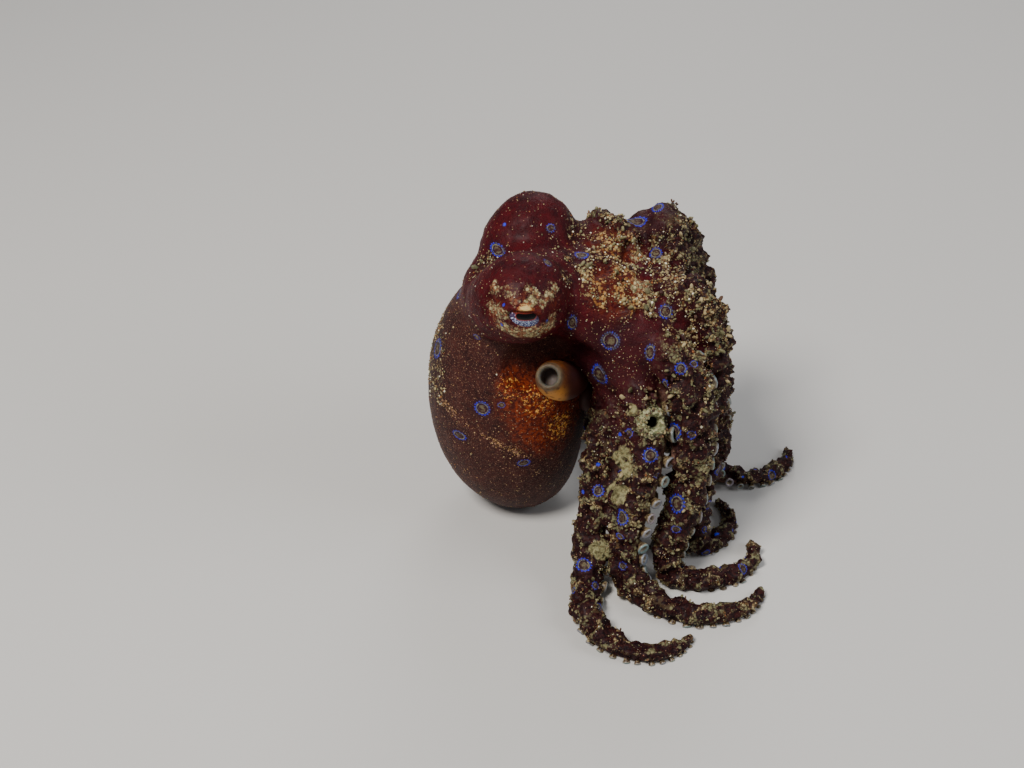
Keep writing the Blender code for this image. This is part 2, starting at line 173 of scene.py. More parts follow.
# Each arm: its root's angle round the crown, the way its suckers face while it hangs, the points it
# passes over, where it touches down, its heading there, how far it then curls, and its length.
ARMS = {
    "right_1": (22.5, 180, [(19.8, 8.0, 44.5), (23.3, 3.5, 22.0)], (23.5, -1.5), 30, 110, 70.0),
    "right_2": (67.5, 60, [(18.5, -1.0, 35.0), (19.2, -4.5, 17.0)], (18.0, -9.5), -12, 118, 68.0),
    "right_3": (112.5, -10, [(12.9, -3.0, 25.0)], (11.2, -13.0), -45, 120, 66.0),
    "right_4": (157.5, -10, [(6.0, 1.4, 19.5)], (2.6, -13.0), -97, 165, 66.0),
    "left_1": (-22.5, 200, [(16.5, 26.5, 49.0), (24.0, 30.0, 29.0)], (27.0, 30.5), 20, 150, 75.0),
    "left_2": (-67.5, -90, [(21.5, 21.5, 33.0), (26.5, 20.0, 15.0)], (29.0, 17.5), -10, 110, 66.0),
    "left_3": (-112.5, -60, [(16.5, 27.0, 24.0)], (16.5, 36.0), 60, 220, 66.0),
    "left_4": (-157.5, 0, [(8.0, 24.5, 18.0)], (5.0, 33.5), 120, 215, 66.0),
}
STATION_STEP = 0.5  # how far apart the points down an arm's middle are
WEB_DEPTHS = {
    ("right_1", "right_2"): 33.0,
    ("right_2", "right_3"): 20.0,
    ("right_3", "right_4"): 34.0,
    ("right_4", "left_4"): 25.0,
    ("left_4", "left_3"): 29.0,
    ("left_3", "left_2"): 33.0,
    ("left_2", "left_1"): 33.0,
    ("left_1", "right_1"): 15.0,
}
WEB_START, WEB_THICKNESS, WEB_ARCH = 3.0, 1.2, 0.22
FLESH = ["mantle", "head", "arm_crown"]
FLESH += [f"arm_{name}_{part}" for name in ARMS for part in ("base", "middle", "tip")]
FLESH += [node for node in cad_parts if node.startswith("web_")]


def soft(share):
    """0 below 0, 1 above 1 and an even slope between, for one number or many."""
    share = np.clip(share, 0.0, 1.0)
    return share * share * (3.0 - 2.0 * share)


def hermite(start, leave, end, arrive, share):
    """A point on the curve that leaves start along leave and reaches end along arrive."""
    s2, s3 = share**2, share**3
    leaving = start * (2 * s3 - 3 * s2 + 1) + leave * (s3 - 2 * s2 + share)
    return leaving + end * (3 * s2 - 2 * s3) + arrive * (s3 - s2)


MOUTHWARD = (CROWN_CENTRE - HEAD_CENTRE).normalized()
MOUTH = CROWN_CENTRE + MOUTHWARD * CROWN_RADIUS
CROWN_TOP = (Z_AXIS - MOUTHWARD * MOUTHWARD.z).normalized()
CROWN_RIGHT = MOUTHWARD.cross(CROWN_TOP)


def arm_radius(distance, length):
    left = 1.0 - min(1.0, distance / length)
    return ARM_TIP_RADIUS + (ARM_ROOT_RADIUS - ARM_TIP_RADIUS) * left**ARM_TAPER


def lying_height(distance, length):
    return arm_radius(distance, length) * ORAL_FLATNESS - 0.15


def arm_line(shape):
    """Points down the middle of an arm, from the crown to the floor and round its curl, with the way
    ahead and the way the suckers face at each."""
    root_angle, hanging, passes, touch, heading, curl, whole = shape
    step = STATION_STEP
    angle = math.radians(root_angle)
    outward = CROWN_TOP * math.cos(angle) + CROWN_RIGHT * math.sin(angle)
    heading, curl = math.radians(heading), math.radians(curl)
    knots = [CROWN_CENTRE + outward * ROOT_RING_RADIUS]
    knots += [Vector(point) for point in (*passes, (*touch, 0.0))]
    knots[-1].z = lying_height(sum((b - a).length for a, b in zip(knots, knots[1:])), whole)
    ways = [(MOUTHWARD * 0.5 + outward * 0.8).normalized()]
    ways += [((after - before).normalized()) for before, after in zip(knots, knots[2:])]
    ways.append(Vector((math.cos(heading), math.sin(heading), -0.45)).normalized())
    fine = []
    for k, (start, end) in enumerate(zip(knots, knots[1:])):
        stretch = (end - start).length
        leave, arrive = ways[k] * stretch, ways[k + 1] * stretch
        fine += [hermite(start, leave, end, arrive, i / 40.0) for i in range(40)]
    line, walked = [fine[0]], 0.0
    for a, b in zip(fine, fine[1:] + [knots[-1]]):
        length = (b - a).length
        while walked + length >= step * len(line):
            line.append(a.lerp(b, (step * len(line) - walked) / length))
        walked += length
    landed, start_height = len(line) - 1, line[-1].z
    steps = int(whole / step) - landed
    for i in range(1, steps + 1):
        turn = heading + curl * (i / steps) ** 1.4
        here = line[-1] + Vector((math.cos(turn), math.sin(turn), 0.0)) * step
        lying = lying_height(step * len(line), whole)
        here.z = lying + (start_height - lying) * (1.0 - soft(i / steps * 4.0))
        line.append(here)
    sideways = math.radians(hanging)
    hanging_way = Vector((math.cos(sideways), math.sin(sideways), -0.3))
    facing = MOUTHWARD * 0.35 - outward
    stations = []
    for i, here in enumerate(line):
        along = (line[min(len(line) - 1, i + 3)] - line[max(0, i - 3)]).normalized()
        down = soft((i / landed - 0.4) / 0.5)
        facing = facing + (hanging_way * (1.0 - down) - Z_AXIS * down) * 0.12
        facing = (facing - along * facing.dot(along)).normalized()
        stations.append((here, along, facing))
    return stations


ARM_LINES = {name: arm_line(shape) for name, shape in ARMS.items()}


def sweep(bm, sections, sides=16):
    """A closed body added to bm: one disc, extruded from section to section. A section is its centre,
    two ways across, and its reach along the first, against it and along the second, or one reach
    where it is round."""
    around = bm.verts.layers.float.get("around") or bm.verts.layers.float.new("around")
    disc = bmesh.ops.create_circle(bm, cap_ends=True, segments=sides, radius=1.0)["verts"]
    for vert in disc:
        vert[around] = math.atan2(vert.co.y, vert.co.x)

    def place(verts, section):
        centre, first, second, front, *others = section
        back, side = others or (front, front)
        for vert in verts:
            towards, across = math.cos(vert[around]), math.sin(vert[around])
            reach = front if towards > 0.0 else back
            vert.co = centre + first * towards * reach + second * across * side

    place(disc, sections[0])
    cap = disc[0].link_faces[0]
    for i, section in enumerate(sections[1:]):
        grown = bmesh.ops.extrude_face_region(bm, geom=[cap])["geom"]
        if i:
            bmesh.ops.delete(bm, geom=[cap], context="FACES_ONLY")
        cap = next(part for part in grown if isinstance(part, bmesh.types.BMFace))
        place([part for part in grown if isinstance(part, bmesh.types.BMVert)], section)


def add_arm(bm, name):
    whole = ARMS[name][-1]
    stations = ARM_LINES[name]
    sections = []
    for i in range(0, len(stations), 3):
        centre, along, facing = stations[i]
        radius = arm_radius(i * STATION_STEP, whole) - COAT_DEPTH * (1.0 - 0.6 * i / len(stations))
        oral_reach = radius * ORAL_FLATNESS * ORAL_SHRINK
        sections.append((centre, facing, along.cross(facing), oral_reach, radius, radius))
    sweep(bm, sections)


def add_web(bm, pair, depth):
    """The sheet between two arms, its free edge drawn back in the middle."""
    first_line, second_line = (ARM_LINES[name] for name in pair)
    sheet = bmesh.new()
    bmesh.ops.create_grid(sheet, x_segments=10, y_segments=18, size=0.5)
    for vert in sheet.verts:
        across, down = vert.co.x + 0.5, vert.co.y + 0.5
        reach = depth * (1.0 - WEB_ARCH * math.sin(math.pi * across))
        index = round((WEB_START + (reach - WEB_START) * down) / STATION_STEP)
        vert.co = first_line[index][0].lerp(second_line[index][0], across)
    bmesh.ops.recalc_face_normals(sheet, faces=sheet.faces)
    for vert in sheet.verts:
        vert.co -= vert.normal * WEB_THICKNESS / 2
    bmesh.ops.solidify(sheet, geom=sheet.faces, thickness=WEB_THICKNESS)
    bmesh.ops.recalc_face_normals(sheet, faces=sheet.faces)
    web_mesh = bpy.data.meshes.new("web")
    sheet.to_mesh(web_mesh)
    sheet.free()
    bm.from_mesh(web_mesh)
    bpy.data.meshes.remove(web_mesh)


def add_mantle(bm):
    made = bmesh.ops.create_uvsphere(bm, u_segments=64, v_segments=48, radius=1.0)["verts"]
    for vert in made:
        height, ring = vert.co.z, math.hypot(vert.co.x, vert.co.y)
        if ring > 1e-6:
            wanted = (1.0 - abs(height) ** MANTLE_FULLNESS) ** (1.0 / MANTLE_FULLNESS)
            vert.co.x *= wanted / ring
            vert.co.y *= wanted / ring
        half_width, half_length = MANTLE_WIDTH / 2 - COAT_DEPTH, MANTLE_LENGTH / 2 - COAT_DEPTH
        vert.co.x = vert.co.x * half_width + MANTLE_BACK_BULGE * (height**2 - 0.35)
        vert.co.y *= half_width
        vert.co.z *= half_length
        vert.co += MANTLE_CENTRE


EYEBALL_RADIUS = 4.25
LID_THICKNESS = 0.45
LID_LIFT = math.radians(12.0)


def eye_axes(side):
    """The middle of an eyeball, and the ways across the lids' opening: forwards, up and out."""
    outward = -1.0 if side == "right" else 1.0
    tilted = Vector((0.0, outward * math.cos(EYE_TILT), math.sin(EYE_TILT)))
    up = Vector((0.0, -outward * math.sin(LID_LIFT), math.cos(LID_LIFT)))
    out = Vector((0.0, outward * math.cos(LID_LIFT), math.sin(LID_LIFT)))
    return EYE_BUMPS[side] + tilted * EYE_DEPTH, X_AXIS, up, out


def add_ball(bm, centre, radii, segments=(48, 32)):
    place = Matrix.Translation(centre) @ Matrix.Diagonal((*radii, 1.0))
    round_it, along_it = segments
    bmesh.ops.create_uvsphere(bm, u_segments=round_it, v_segments=along_it, radius=1.0, matrix=place)


def loose(name, bm):
    """A helper object, in millimetres, that stays out of the frame."""
    item = linked(name, bpy.data.meshes.new(name))
    bm.to_mesh(item.data)
    bm.free()
    return item


def settled(item):
    """The object with its modifiers worked into its mesh."""
    bpy.context.view_layer.update()
    worked = item.evaluated_get(bpy.context.evaluated_depsgraph_get())
    made = bpy.data.meshes.new_from_object(worked)
    item.modifiers.clear()
    old, item.data = item.data, made
    bpy.data.meshes.remove(old)
    return item


def melted(name, bm, voxel, smoothing):
    """The overlapping closed shapes of bm as one even skin."""
    item = loose(name, bm)
    remesh = item.modifiers.new("melt", "REMESH")
    remesh.mode, remesh.voxel_size = "VOXEL", voxel
    smooth = item.modifiers.new("soften", "SMOOTH")
    smooth.iterations = smoothing
    return settled(item)


trunk_shape = bmesh.new()
for centre, radii in BALLS:
    add_ball(trunk_shape, centre, [radius - COAT_DEPTH for radius in radii])
for side in EYE_BUMPS:
    add_ball(trunk_shape, eye_axes(side)[0], [EYEBALL_RADIUS + LID_THICKNESS] * 3)
add_mantle(trunk_shape)
trunk = melted("trunk", trunk_shape, voxel=0.6, smoothing=26)

pocket_shape = bmesh.new()
add_ball(pocket_shape, POCKET_CENTRE, POCKET_RADII)
pocket = loose("pocket", pocket_shape)
hollow = trunk.modifiers.new("hollow", "BOOLEAN")
hollow.operation, hollow.object, hollow.solver = "DIFFERENCE", pocket, "MANIFOLD"
settled(trunk)

whole_shape = bmesh.new()
whole_shape.from_mesh(trunk.data)
for name in ARMS:
    add_arm(whole_shape, name)
for pair, depth in WEB_DEPTHS.items():
    add_web(whole_shape, pair, depth)
for helper in (trunk, pocket):
    bpy.data.objects.remove(helper)
hide = melted("hide", whole_shape, voxel=0.53, smoothing=2)


def read(items, name, width, kind=np.float32):
    """One property of many items, a row of numbers to each."""
    values = np.empty(len(items) * width, kind)
    items.foreach_get(name, values)
    return values.reshape(-1, width)


def places_of(mesh):
    return read(mesh.vertices, "co", 3).astype(float)


def patch(places, centre, radius, fade):
    """1 inside a ball round centre, falling to 0 over its fade."""
    return 1.0 - soft((np.linalg.norm(places - np.array(centre), axis=1) - radius) / fade)


MIDLINE = 12.0  # where the animal's middle lies across the frame


def mirrored_patch(places, centre, radius, fade):
    """A patch and its twin on the other side of the animal."""
    folded = places.copy()
    folded[:, 1] = MIDLINE - np.abs(places[:, 1] - MIDLINE)
    return patch(folded, centre, radius, fade)


def strongest(*shares):
    return np.maximum.reduce(shares)


def on_bumps(places, radius):
    return strongest(*(patch(places, centre, radius, 2.0) for centre in EYE_BUMPS.values()))


def rippled(places, size, detail):
    """Uneven ground from about -1 to 1, with swells of that size in millimetres, laid in as many
    rounds as detail says, each round half the size of the last."""
    spots = places.tolist()
    return np.array([noise.fractal(Vector(spot) / size, 0.9, 2.0, detail) for spot in spots])


def ridged(places):
    """About 1 along a net of raised folds and down to -1 between them."""
    return 1.0 - 4.4 * np.abs(rippled(places - 25.0, 3.3, 2))


# The crown and the roots of the arms are drawn into one smooth form, the rest of the arms hardly at
# all.
places = places_of(hide.data)
softness = strongest(
    patch(places, (6.0, 12.0, 42.0), 13.0, 7.0),
    0.8 * patch(places, (-12.0, 12.0, 43.0), 8.0, 6.0),
    0.9 * mirrored_patch(places, (-15.0, 7.5, 47.0), 5.0, 3.0),
    0.95 * mirrored_patch(places, (-17.5, 6.0, 42.5), 4.0, 4.0),
)
softness *= 1.0 - patch(places, POCKET_CENTRE, 4.5, 3.0)
group = hide.vertex_groups.new(name="soft")
for level in range(1, 11):
    group.add(np.nonzero(np.round(softness * 10) == level)[0].tolist(), level / 10, "REPLACE")
smooth = hide.modifiers.new("soften", "SMOOTH")
smooth.iterations, smooth.vertex_group = 34, "soft"
settled(hide)

CRATER = Vector((12.8, -4.2, 29.9))
FINE_SPOTS = [(eye_axes("right")[0], 7.5, 4.6), (eye_axes("left")[0], 6.5, 4.2), (CRATER, 4.2, 3.2)]

fine_shape = bmesh.new()
fine_shape.from_mesh(hide.data)
for level in (1, 2):
    spots = [(centre, reach[level - 1]) for centre, *reach in FINE_SPOTS]
    chosen = set()
    for face in fine_shape.faces:
        middle = face.calc_center_median()
        if any((middle - centre).length < reach for centre, reach in spots):
            chosen.add(face)
    edges = [edge for edge in fine_shape.edges if any(face in chosen for face in edge.link_faces)]
    bmesh.ops.subdivide_edges(fine_shape, edges=edges, cuts=1, use_grid_fill=True)
    wide = [face for face in fine_shape.faces if len(face.verts) > 4]
    bmesh.ops.triangulate(fine_shape, faces=wide)
fine_shape.to_mesh(hide.data)
fine_shape.free()
hide.vertex_groups.clear()

bpy.context.view_layer.objects.active = hide
hide.select_set(True)
bpy.ops.object.mode_set(mode="EDIT")
bpy.ops.mesh.select_all(action="SELECT")
bpy.ops.uv.smart_project(angle_limit=math.radians(66.0), island_margin=0.001)
bpy.ops.object.mode_set(mode="OBJECT")
hide.data.uv_layers[0].name = "OFBake"
skin_mesh = hide.data.copy()
bpy.data.objects.remove(hide)


def normals_of(mesh):
    return read(mesh.vertex_normals, "vector", 3).astype(float)


LID_REACH, LID_SLANT = 4.6, math.radians(14.0)
FAR_OFF = 9.0  # stands for every reach too great to matter


def lid_ring(places, side):
    """How far each place is from the middle of the lids' opening, where 1 is the lids' edge, its
    distance from the middle of the eyeball, and its two ways across the opening in millimetres."""
    middle, forwards, up, out = (np.array(way) for way in eye_axes(side))
    away = places - middle
    reach = np.linalg.norm(away, axis=1)
    across, above = (away @ forwards) / reach * LID_REACH, (away @ up) / reach * LID_REACH
    cosine, sine = math.cos(LID_SLANT), math.sin(LID_SLANT)
    along, over = across * cosine - above * sine, across * sine + above * cosine
    ring = np.maximum(np.hypot(along / 2.55, over / 1.42), above / 1.3)
    return np.where(away @ out > 0.0, ring, FAR_OFF), reach, across, above


def hump(values, middle, width):
    """1 where the values reach middle, dying away within width of it."""
    return np.exp(-(((values - middle) / width) ** 2))


def draw_lids(places, side):
    """The hide pushed in where the eyeball shows, and rolled up into a lid all round."""
    middle = np.array(eye_axes(side)[0])
    ring, reach, _, above = lid_ring(places, side)
    lid = EYEBALL_RADIUS - 0.9 + soft((ring - 0.88) / 0.16) * (1.25 + 0.2 * soft(above))
    lid += 0.24 * hump(ring, 1.25, 0.25) - 0.1 * hump(ring, 1.8, 0.16)
    ours = (1.0 - soft((ring - 1.5) / 0.7)) * (reach < 6.5)
    wanted = reach + (lid - reach) * ours
    over_ball = (ring > 1.1) & (ring < 8.0)
    wanted = np.where(over_ball, np.maximum(wanted, EYEBALL_RADIUS + 0.4), wanted)
    return middle + (places - middle) * (wanted / reach)[:, None]


def ball_reach(places, centre, radii):
    """How far each place is from a centre, where 1 is the skin of a ball with those radii."""
    return np.linalg.norm((places - np.array(centre)) / np.array(radii), axis=1)


def arm_marks(places):
    """How far each place belongs to an arm rather than to the head, how far it faces with the
    suckers, and its share of the arm's length."""
    stations = [(name, i) for name in ARMS for i in range(len(ARM_LINES[name]))]
    centres = np.array([ARM_LINES[name][i][0] for name, i in stations])
    facings = np.array([ARM_LINES[name][i][2] for name, i in stations])
    shares = np.array([i / len(ARM_LINES[name]) for name, i in stations])
    radii = np.array([arm_radius(i * STATION_STEP, ARMS[name][-1]) for name, i in stations])
    tree = KDTree(len(centres))
    for i, centre in enumerate(centres):
        tree.insert(centre, i)
    tree.balance()
    nearest = np.array([tree.find(place)[1] for place in places.tolist()])
    away = places - centres[nearest]
    reach = np.linalg.norm(away, axis=1)
    oral = (away * facings[nearest]).sum(axis=1) / np.maximum(reach, 0.05)
    oral *= 1.0 - soft((reach / radii[nearest] - 1.15) / 0.3)
    crown = soft((np.linalg.norm(places - np.array(CROWN_CENTRE), axis=1) - 11.5) / 4.0)
    sac = ball_reach(places, MANTLE_CENTRE, (14.5, 14.5, 25.0))
    arm = crown * soft((sac - 1.0) / 0.15) * (1.0 - patch(places, HEAD_CENTRE, 14.0, 3.0))
    for centre in EYE_BUMPS.values():
        arm *= 1.0 - patch(places, centre, 8.4, 2.0)
    return arm, oral, shares[nearest]


places = places_of(skin_mesh)
normals = normals_of(skin_mesh)
arm, oral, share = arm_marks(places)
SAC_RADII = (14.4, 14.4, 24.5)
mantle = 1.0 - soft((ball_reach(places, MANTLE_CENTRE, SAC_RADII) - 1.0) / 0.12)
mantle *= 1.0 - soft((places[:, 2] - 39.0) / 5.0)
upper_cheek = mirrored_patch(places, (7.5, 0.5, 37.0), 6.5, 4.0)
calm = strongest(upper_cheek, mirrored_patch(places, (8.5, -1.5, 30.5), 5.0, 4.0))
bumps = on_bumps(places, 7.6)

# Ringed spots: where each lies on the near side, its radius, how many beads it has, and how far it
# is squeezed in height. A spot without beads is a plain blue dot. The far side's are strewn evenly,
# as the animal has them all over.
RINGS = [
    ((-10.8, 16.3, 54.3), 0.40, 0, 1.0), ((-3.3, 15.1, 54.5), 0.85, 11, 0.9),
    ((-11.4, 13.7, 50.8), 2.00, 17, 0.5), ((-4.0, 4.4, 54.1), 0.95, 12, 0.8),
    ((1.6, 12.5, 50.9), 1.30, 16, 0.9), ((-10.7, -2.1, 50.5), 0.32, 0, 1.0),
    ((-0.2, 3.1, 44.4), 0.85, 11, 1.6), ((-4.5, -2.6, 48.1), 0.36, 0, 1.0),
    ((-11.2, -2.4, 47.3), 0.34, 0, 1.0), ((-15.0, 6.2, 39.7), 0.80, 9, 0.5),
    ((-17.9, 14.9, 42.3), 1.20, 14, 1.3), ((-22.2, 11.6, 33.6), 1.50, 16, 1.2),
    ((6.0, 2.1, 41.1), 1.55, 22, 1.0), ((12.0, -0.3, 40.3), 0.95, 13, 1.5),
    ((14.8, 4.6, 45.2), 1.20, 12, 1.0), ((13.9, 16.0, 49.5), 1.10, 13, 1.0),
    ((14.4, 25.4, 52.8), 1.80, 18, 0.6), ((11.0, 23.3, 51.1), 1.30, 14, 1.5),
    ((16.6, -2.7, 39.4), 1.00, 11, 1.0), ((19.0, -2.1, 39.5), 0.62, 7, 1.0),
    ((14.5, -1.9, 35.2), 0.90, 11, 1.5), ((3.0, 1.5, 33.2), 1.60, 19, 1.3),
    ((-14.4, 2.3, 27.8), 1.40, 16, 1.0), ((-11.3, 1.9, 28.9), 0.68, 7, 0.9),
    ((-7.8, 2.1, 16.7), 1.20, 13, 0.65), ((-18.6, 4.3, 21.0), 1.50, 12, 0.6),
    ((16.4, -3.9, 27.9), 1.30, 14, 1.1), ((18.7, -5.9, 28.7), 0.75, 8, 1.0),
    ((12.7, -6.5, 25.0), 1.25, 12, 1.0), ((9.3, -3.1, 26.6), 0.80, 8, 1.0),
    ((8.0, -0.3, 24.6), 0.40, 0, 1.0), ((13.1, -7.4, 22.2), 0.60, 6, 0.7),
    ((4.5, -2.3, 19.7), 0.42, 0, 1.0), ((4.5, -4.3, 16.0), 1.00, 12, 1.0),
    ((2.4, -3.1, 14.4), 0.45, 0, 1.0), ((8.3, -8.8, 14.1), 1.35, 15, 1.0),
    ((16.9, -7.4, 15.5), 1.35, 15, 1.3), ((8.1, -9.9, 11.2), 0.90, 8, 0.5),
    ((17.4, -8.8, 11.5), 0.90, 9, 0.8), ((2.2, -11.3, 5.7), 1.40, 14, 0.8),
    ((4.3, -14.0, 4.6), 1.00, 9, 0.6), ((6.0, -17.4, 3.4), 0.95, 8, 0.9),
    ((8.4, -12.4, 6.4), 0.80, 7, 1.0),
]

hide_tree = KDTree(len(places))
for i, place in enumerate(places.tolist()):
    hide_tree.insert(place, i)
hide_tree.balance()


def facing_near(here, radius):
    """The way the hide faces round a place, averaged over a ring's width, so that it is shorter than
    1 where the hide bends."""
    around = [Vector(normals[index]) for _, index, _ in hide_tree.find_range(here, radius + 0.5)]
    return sum(around, Vector()) / len(around)


luck = random.Random(11)
rings = []
for centre, radius, beads, squeeze in RINGS:
    here = hide_tree.find(centre)[0]
    rings.append((here, facing_near(here, radius).normalized(), radius, beads, squeeze))
NEAR_SIDE = Vector((0.0, -0.82, 0.57))
STREWING_TRIES, FLAT_ENOUGH = 9000, 0.84
CLEAR_OF_MOUTH, CLEAR_OF_LIDS, CLEAR_OF_OTHERS = 8.0, 3.0, 1.6
for _ in range(STREWING_TRIES):
    index = luck.randrange(len(places))
    here, facing = Vector(places[index]), Vector(normals[index])
    near_side = facing.dot(NEAR_SIDE) > -0.3
    on_floor = here.z < 1.2 or oral[index] * arm[index] > 0.25
    by_mouth = (here - MOUTH).length < CLEAR_OF_MOUTH
    if near_side and share[index] * arm[index] < 0.5 or on_floor or by_mouth:
        continue
    from_lids = [lid_ring(places[index][None], side)[0][0] for side in EYE_BUMPS]
    if min(from_lids) < CLEAR_OF_LIDS:
        continue
    roomy = 1.0 - 0.45 * share[index] * arm[index]
    radius = (0.45 + luck.random() * 1.0) * roomy
    facing = facing_near(here, radius)
    room = radius + CLEAR_OF_OTHERS + 2.4 * mantle[index]
    crowded = any((here - other).length < room + known for other, _, known, _, _ in rings)
    if not crowded and facing.length > FLAT_ENOUGH:
        beads = 0 if radius < 0.5 else round(6 + radius * 9)
        rings.append((here, facing.normalized(), radius, beads, luck.uniform(0.7, 1.3)))

ring_marks = np.full((len(places), 3), (FAR_OFF, FAR_OFF, 0.0))
for here, facing, radius, beads, squeeze in rings:
    upward = Z_AXIS - facing * facing.z if abs(facing.z) < 0.95 else X_AXIS - facing * facing.x
    upward.normalize()
    sideways = upward.cross(facing)
    for _, index, _ in hide_tree.find_range(here, radius * max(1.0, squeeze) * 2.0 + 0.6):
        rel = Vector(places[index]) - here
        if abs(rel.dot(facing)) > 1.2 + radius:
            continue
        across, over = rel.dot(sideways) / radius, rel.dot(upward) / (radius * squeeze)
        if math.hypot(across, over) < math.hypot(*ring_marks[index][:2]):
            ring_marks[index] = (across, over, beads)
ring_reach = np.hypot(ring_marks[:, 0], ring_marks[:, 1])

# Folds: low swells over the sac, creases on the head, and warty lumps over the arms.
RAISED_ARM = (12.8, 24.6, 51.0)
RAISED_SIDE = (17.5, 26.5, 53.0)
OLIVE_LUMPS = [((8.0, -4.6, 22.0), 3.3), ((8.2, -5.4, 16.0), 3.0)]
OLIVE_LUMPS += [((4.9, -9.1, 7.4), 2.4), ((9.0, -3.4, 31.5), 1.6)]
raised = patch(places, RAISED_ARM, 4.0, 2.5)
swells = rippled(places, 2.1, 2)
crinkles = rippled(places + 40.0, 0.85, 2)
ridges = ridged(places)
lump = arm * (1.0 - soft(oral + 0.1)) * (1.0 - 0.45 * share) * (1.0 - 0.75 * raised)
lump *= 1.0 - 0.6 * patch(places, RAISED_SIDE, 2.5, 3.0)
crown_top = patch(places, (11.0, 12.0, 49.0), 8.0, 5.0) * (1.0 - bumps) * (1.0 - arm)
knobs = 0.42 * np.tanh(np.maximum(rippled(places + 90.0, 1.9, 1) - 0.05, 0.0) / 0.42)
lift = (0.72 * lump + 0.32 * crown_top) * ridges
lift += (0.16 * arm + 0.05) * crinkles * (1.0 - 0.6 * mantle)
lift += (2.4 * lump + 0.8 * crown_top) * knobs
for centre, radius in OLIVE_LUMPS:
    lift += 0.9 * patch(places, centre, radius * 0.2, radius)
lift -= 1.5 * patch(places, (20.3, 27.0, 53.0), 1.5, 3.5)
lift += (1.0 - arm) * (1.0 - 0.7 * calm) * (1.0 - mantle) * 0.16 * swells
lift += mantle * 0.09 * rippled(places * (1.0, 1.0, 0.55), 3.4, 2)
lift *= soft((places[:, 2] - 0.3) / 1.2) * (0.25 + 0.75 * soft((ring_reach - 1.0) / 0.6))

# The mantle's lip is rolled where the pocket opens.
pocket_ring = ball_reach(places, POCKET_CENTRE, POCKET_RADII)
outside = (normals * (places - np.array(POCKET_CENTRE))).sum(axis=1) > 0.0
lip = outside * hump(pocket_ring, 1.10, 0.10) * soft((38.5 - places[:, 2]) / 3.0)
lift += 0.5 * lip
places += normals * lift[:, None]
for side in EYE_BUMPS:
    places = draw_lids(places, side)

# One wart on the cheek opens as a crater.
from_crater = places - np.array(CRATER)
crater_out = Vector((0.17, -0.84, 0.51)).normalized()
standing_out = np.outer(from_crater @ np.array(crater_out), crater_out)
crater_ring = np.linalg.norm(from_crater - standing_out, axis=1)
crater_ring = np.where(np.linalg.norm(from_crater, axis=1) < 4.5, crater_ring, FAR_OFF)
rim = 1.1 * hump(crater_ring, 1.75, 0.6) - 1.7 * (1.0 - soft((crater_ring - 0.7) / 0.45))
crater_turn = np.arctan2(from_crater @ np.array(Z_AXIS), from_crater @ np.array(X_AXIS))
rim += 0.2 * np.cos(crater_turn * 9.0) * hump(crater_ring, 2.0, 0.6)
places += np.outer(rim * (crater_ring < FAR_OFF), crater_out)
places[:, 2] = np.maximum(places[:, 2], 0.0)
skin_mesh.vertices.foreach_set("co", places.astype(np.float32).ravel())
skin_mesh.update()

# The markings. Each is a share from 0 to 1 at every point of the hide, worked out once and read
# both by the skin's finish and by the grit that grows on it: grey-cream crust, gold and orange
# sheen, pale lids, a painted highlight above each pupil, and the ringed spots.
places, normals = places_of(skin_mesh), normals_of(skin_mesh)

# Pale and ember-coloured patches round each eye: how far forwards and up from its middle, their
# half width and half height, and their strength.
LID_PATCHES = [
    (0.9, 2.4, 1.1, 0.6, 0.9), (1.6, 3.3, 0.8, 0.8, 0.95), (0.7, 4.3, 0.8, 0.7, 0.65),
    (2.9, 2.2, 0.6, 0.8, 0.85), (3.8, 2.9, 0.8, 0.8, 0.9), (4.8, 3.7, 0.7, 0.8, 0.8),
    (3.9, 4.5, 0.5, 0.6, 0.4), (-4.0, 0.5, 1.6, 1.1, 0.85), (-4.6, 3.9, 1.3, 1.2, 0.55),
    (-2.4, 3.6, 1.5, 1.0, 0.46), (-1.5, 2.5, 1.0, 0.5, 0.7), (-3.2, -1.8, 1.3, 1.0, 0.9),
    (-0.9, -2.4, 1.6, 1.0, 1.15), (1.5, -2.5, 1.6, 1.0, 1.15), (3.6, -2.0, 1.4, 1.0, 1.0),
    (4.2, -0.5, 0.9, 0.8, 0.55),
]
EMBER_PATCHES = [
    (-0.3, 3.0, 0.9, 0.8, 1.0), (2.2, 1.4, 0.6, 0.9, 0.8), (4.6, 1.6, 0.8, 1.2, 0.8),
    (-4.2, 1.9, 1.6, 0.6, 0.8), (0.4, -3.2, 4.2, 0.6, 0.8), (-4.6, -0.6, 0.9, 0.9, 0.6),
    (1.0, -1.7, 2.2, 0.4, 0.6),
]


def eye_spot(across, above, here, high, wide, tall):
    """1 at one spot beside an eye, dying away within wide and tall of it."""
    return np.exp(-(((across - here) / wide) ** 2) - ((above - high) / tall) ** 2)


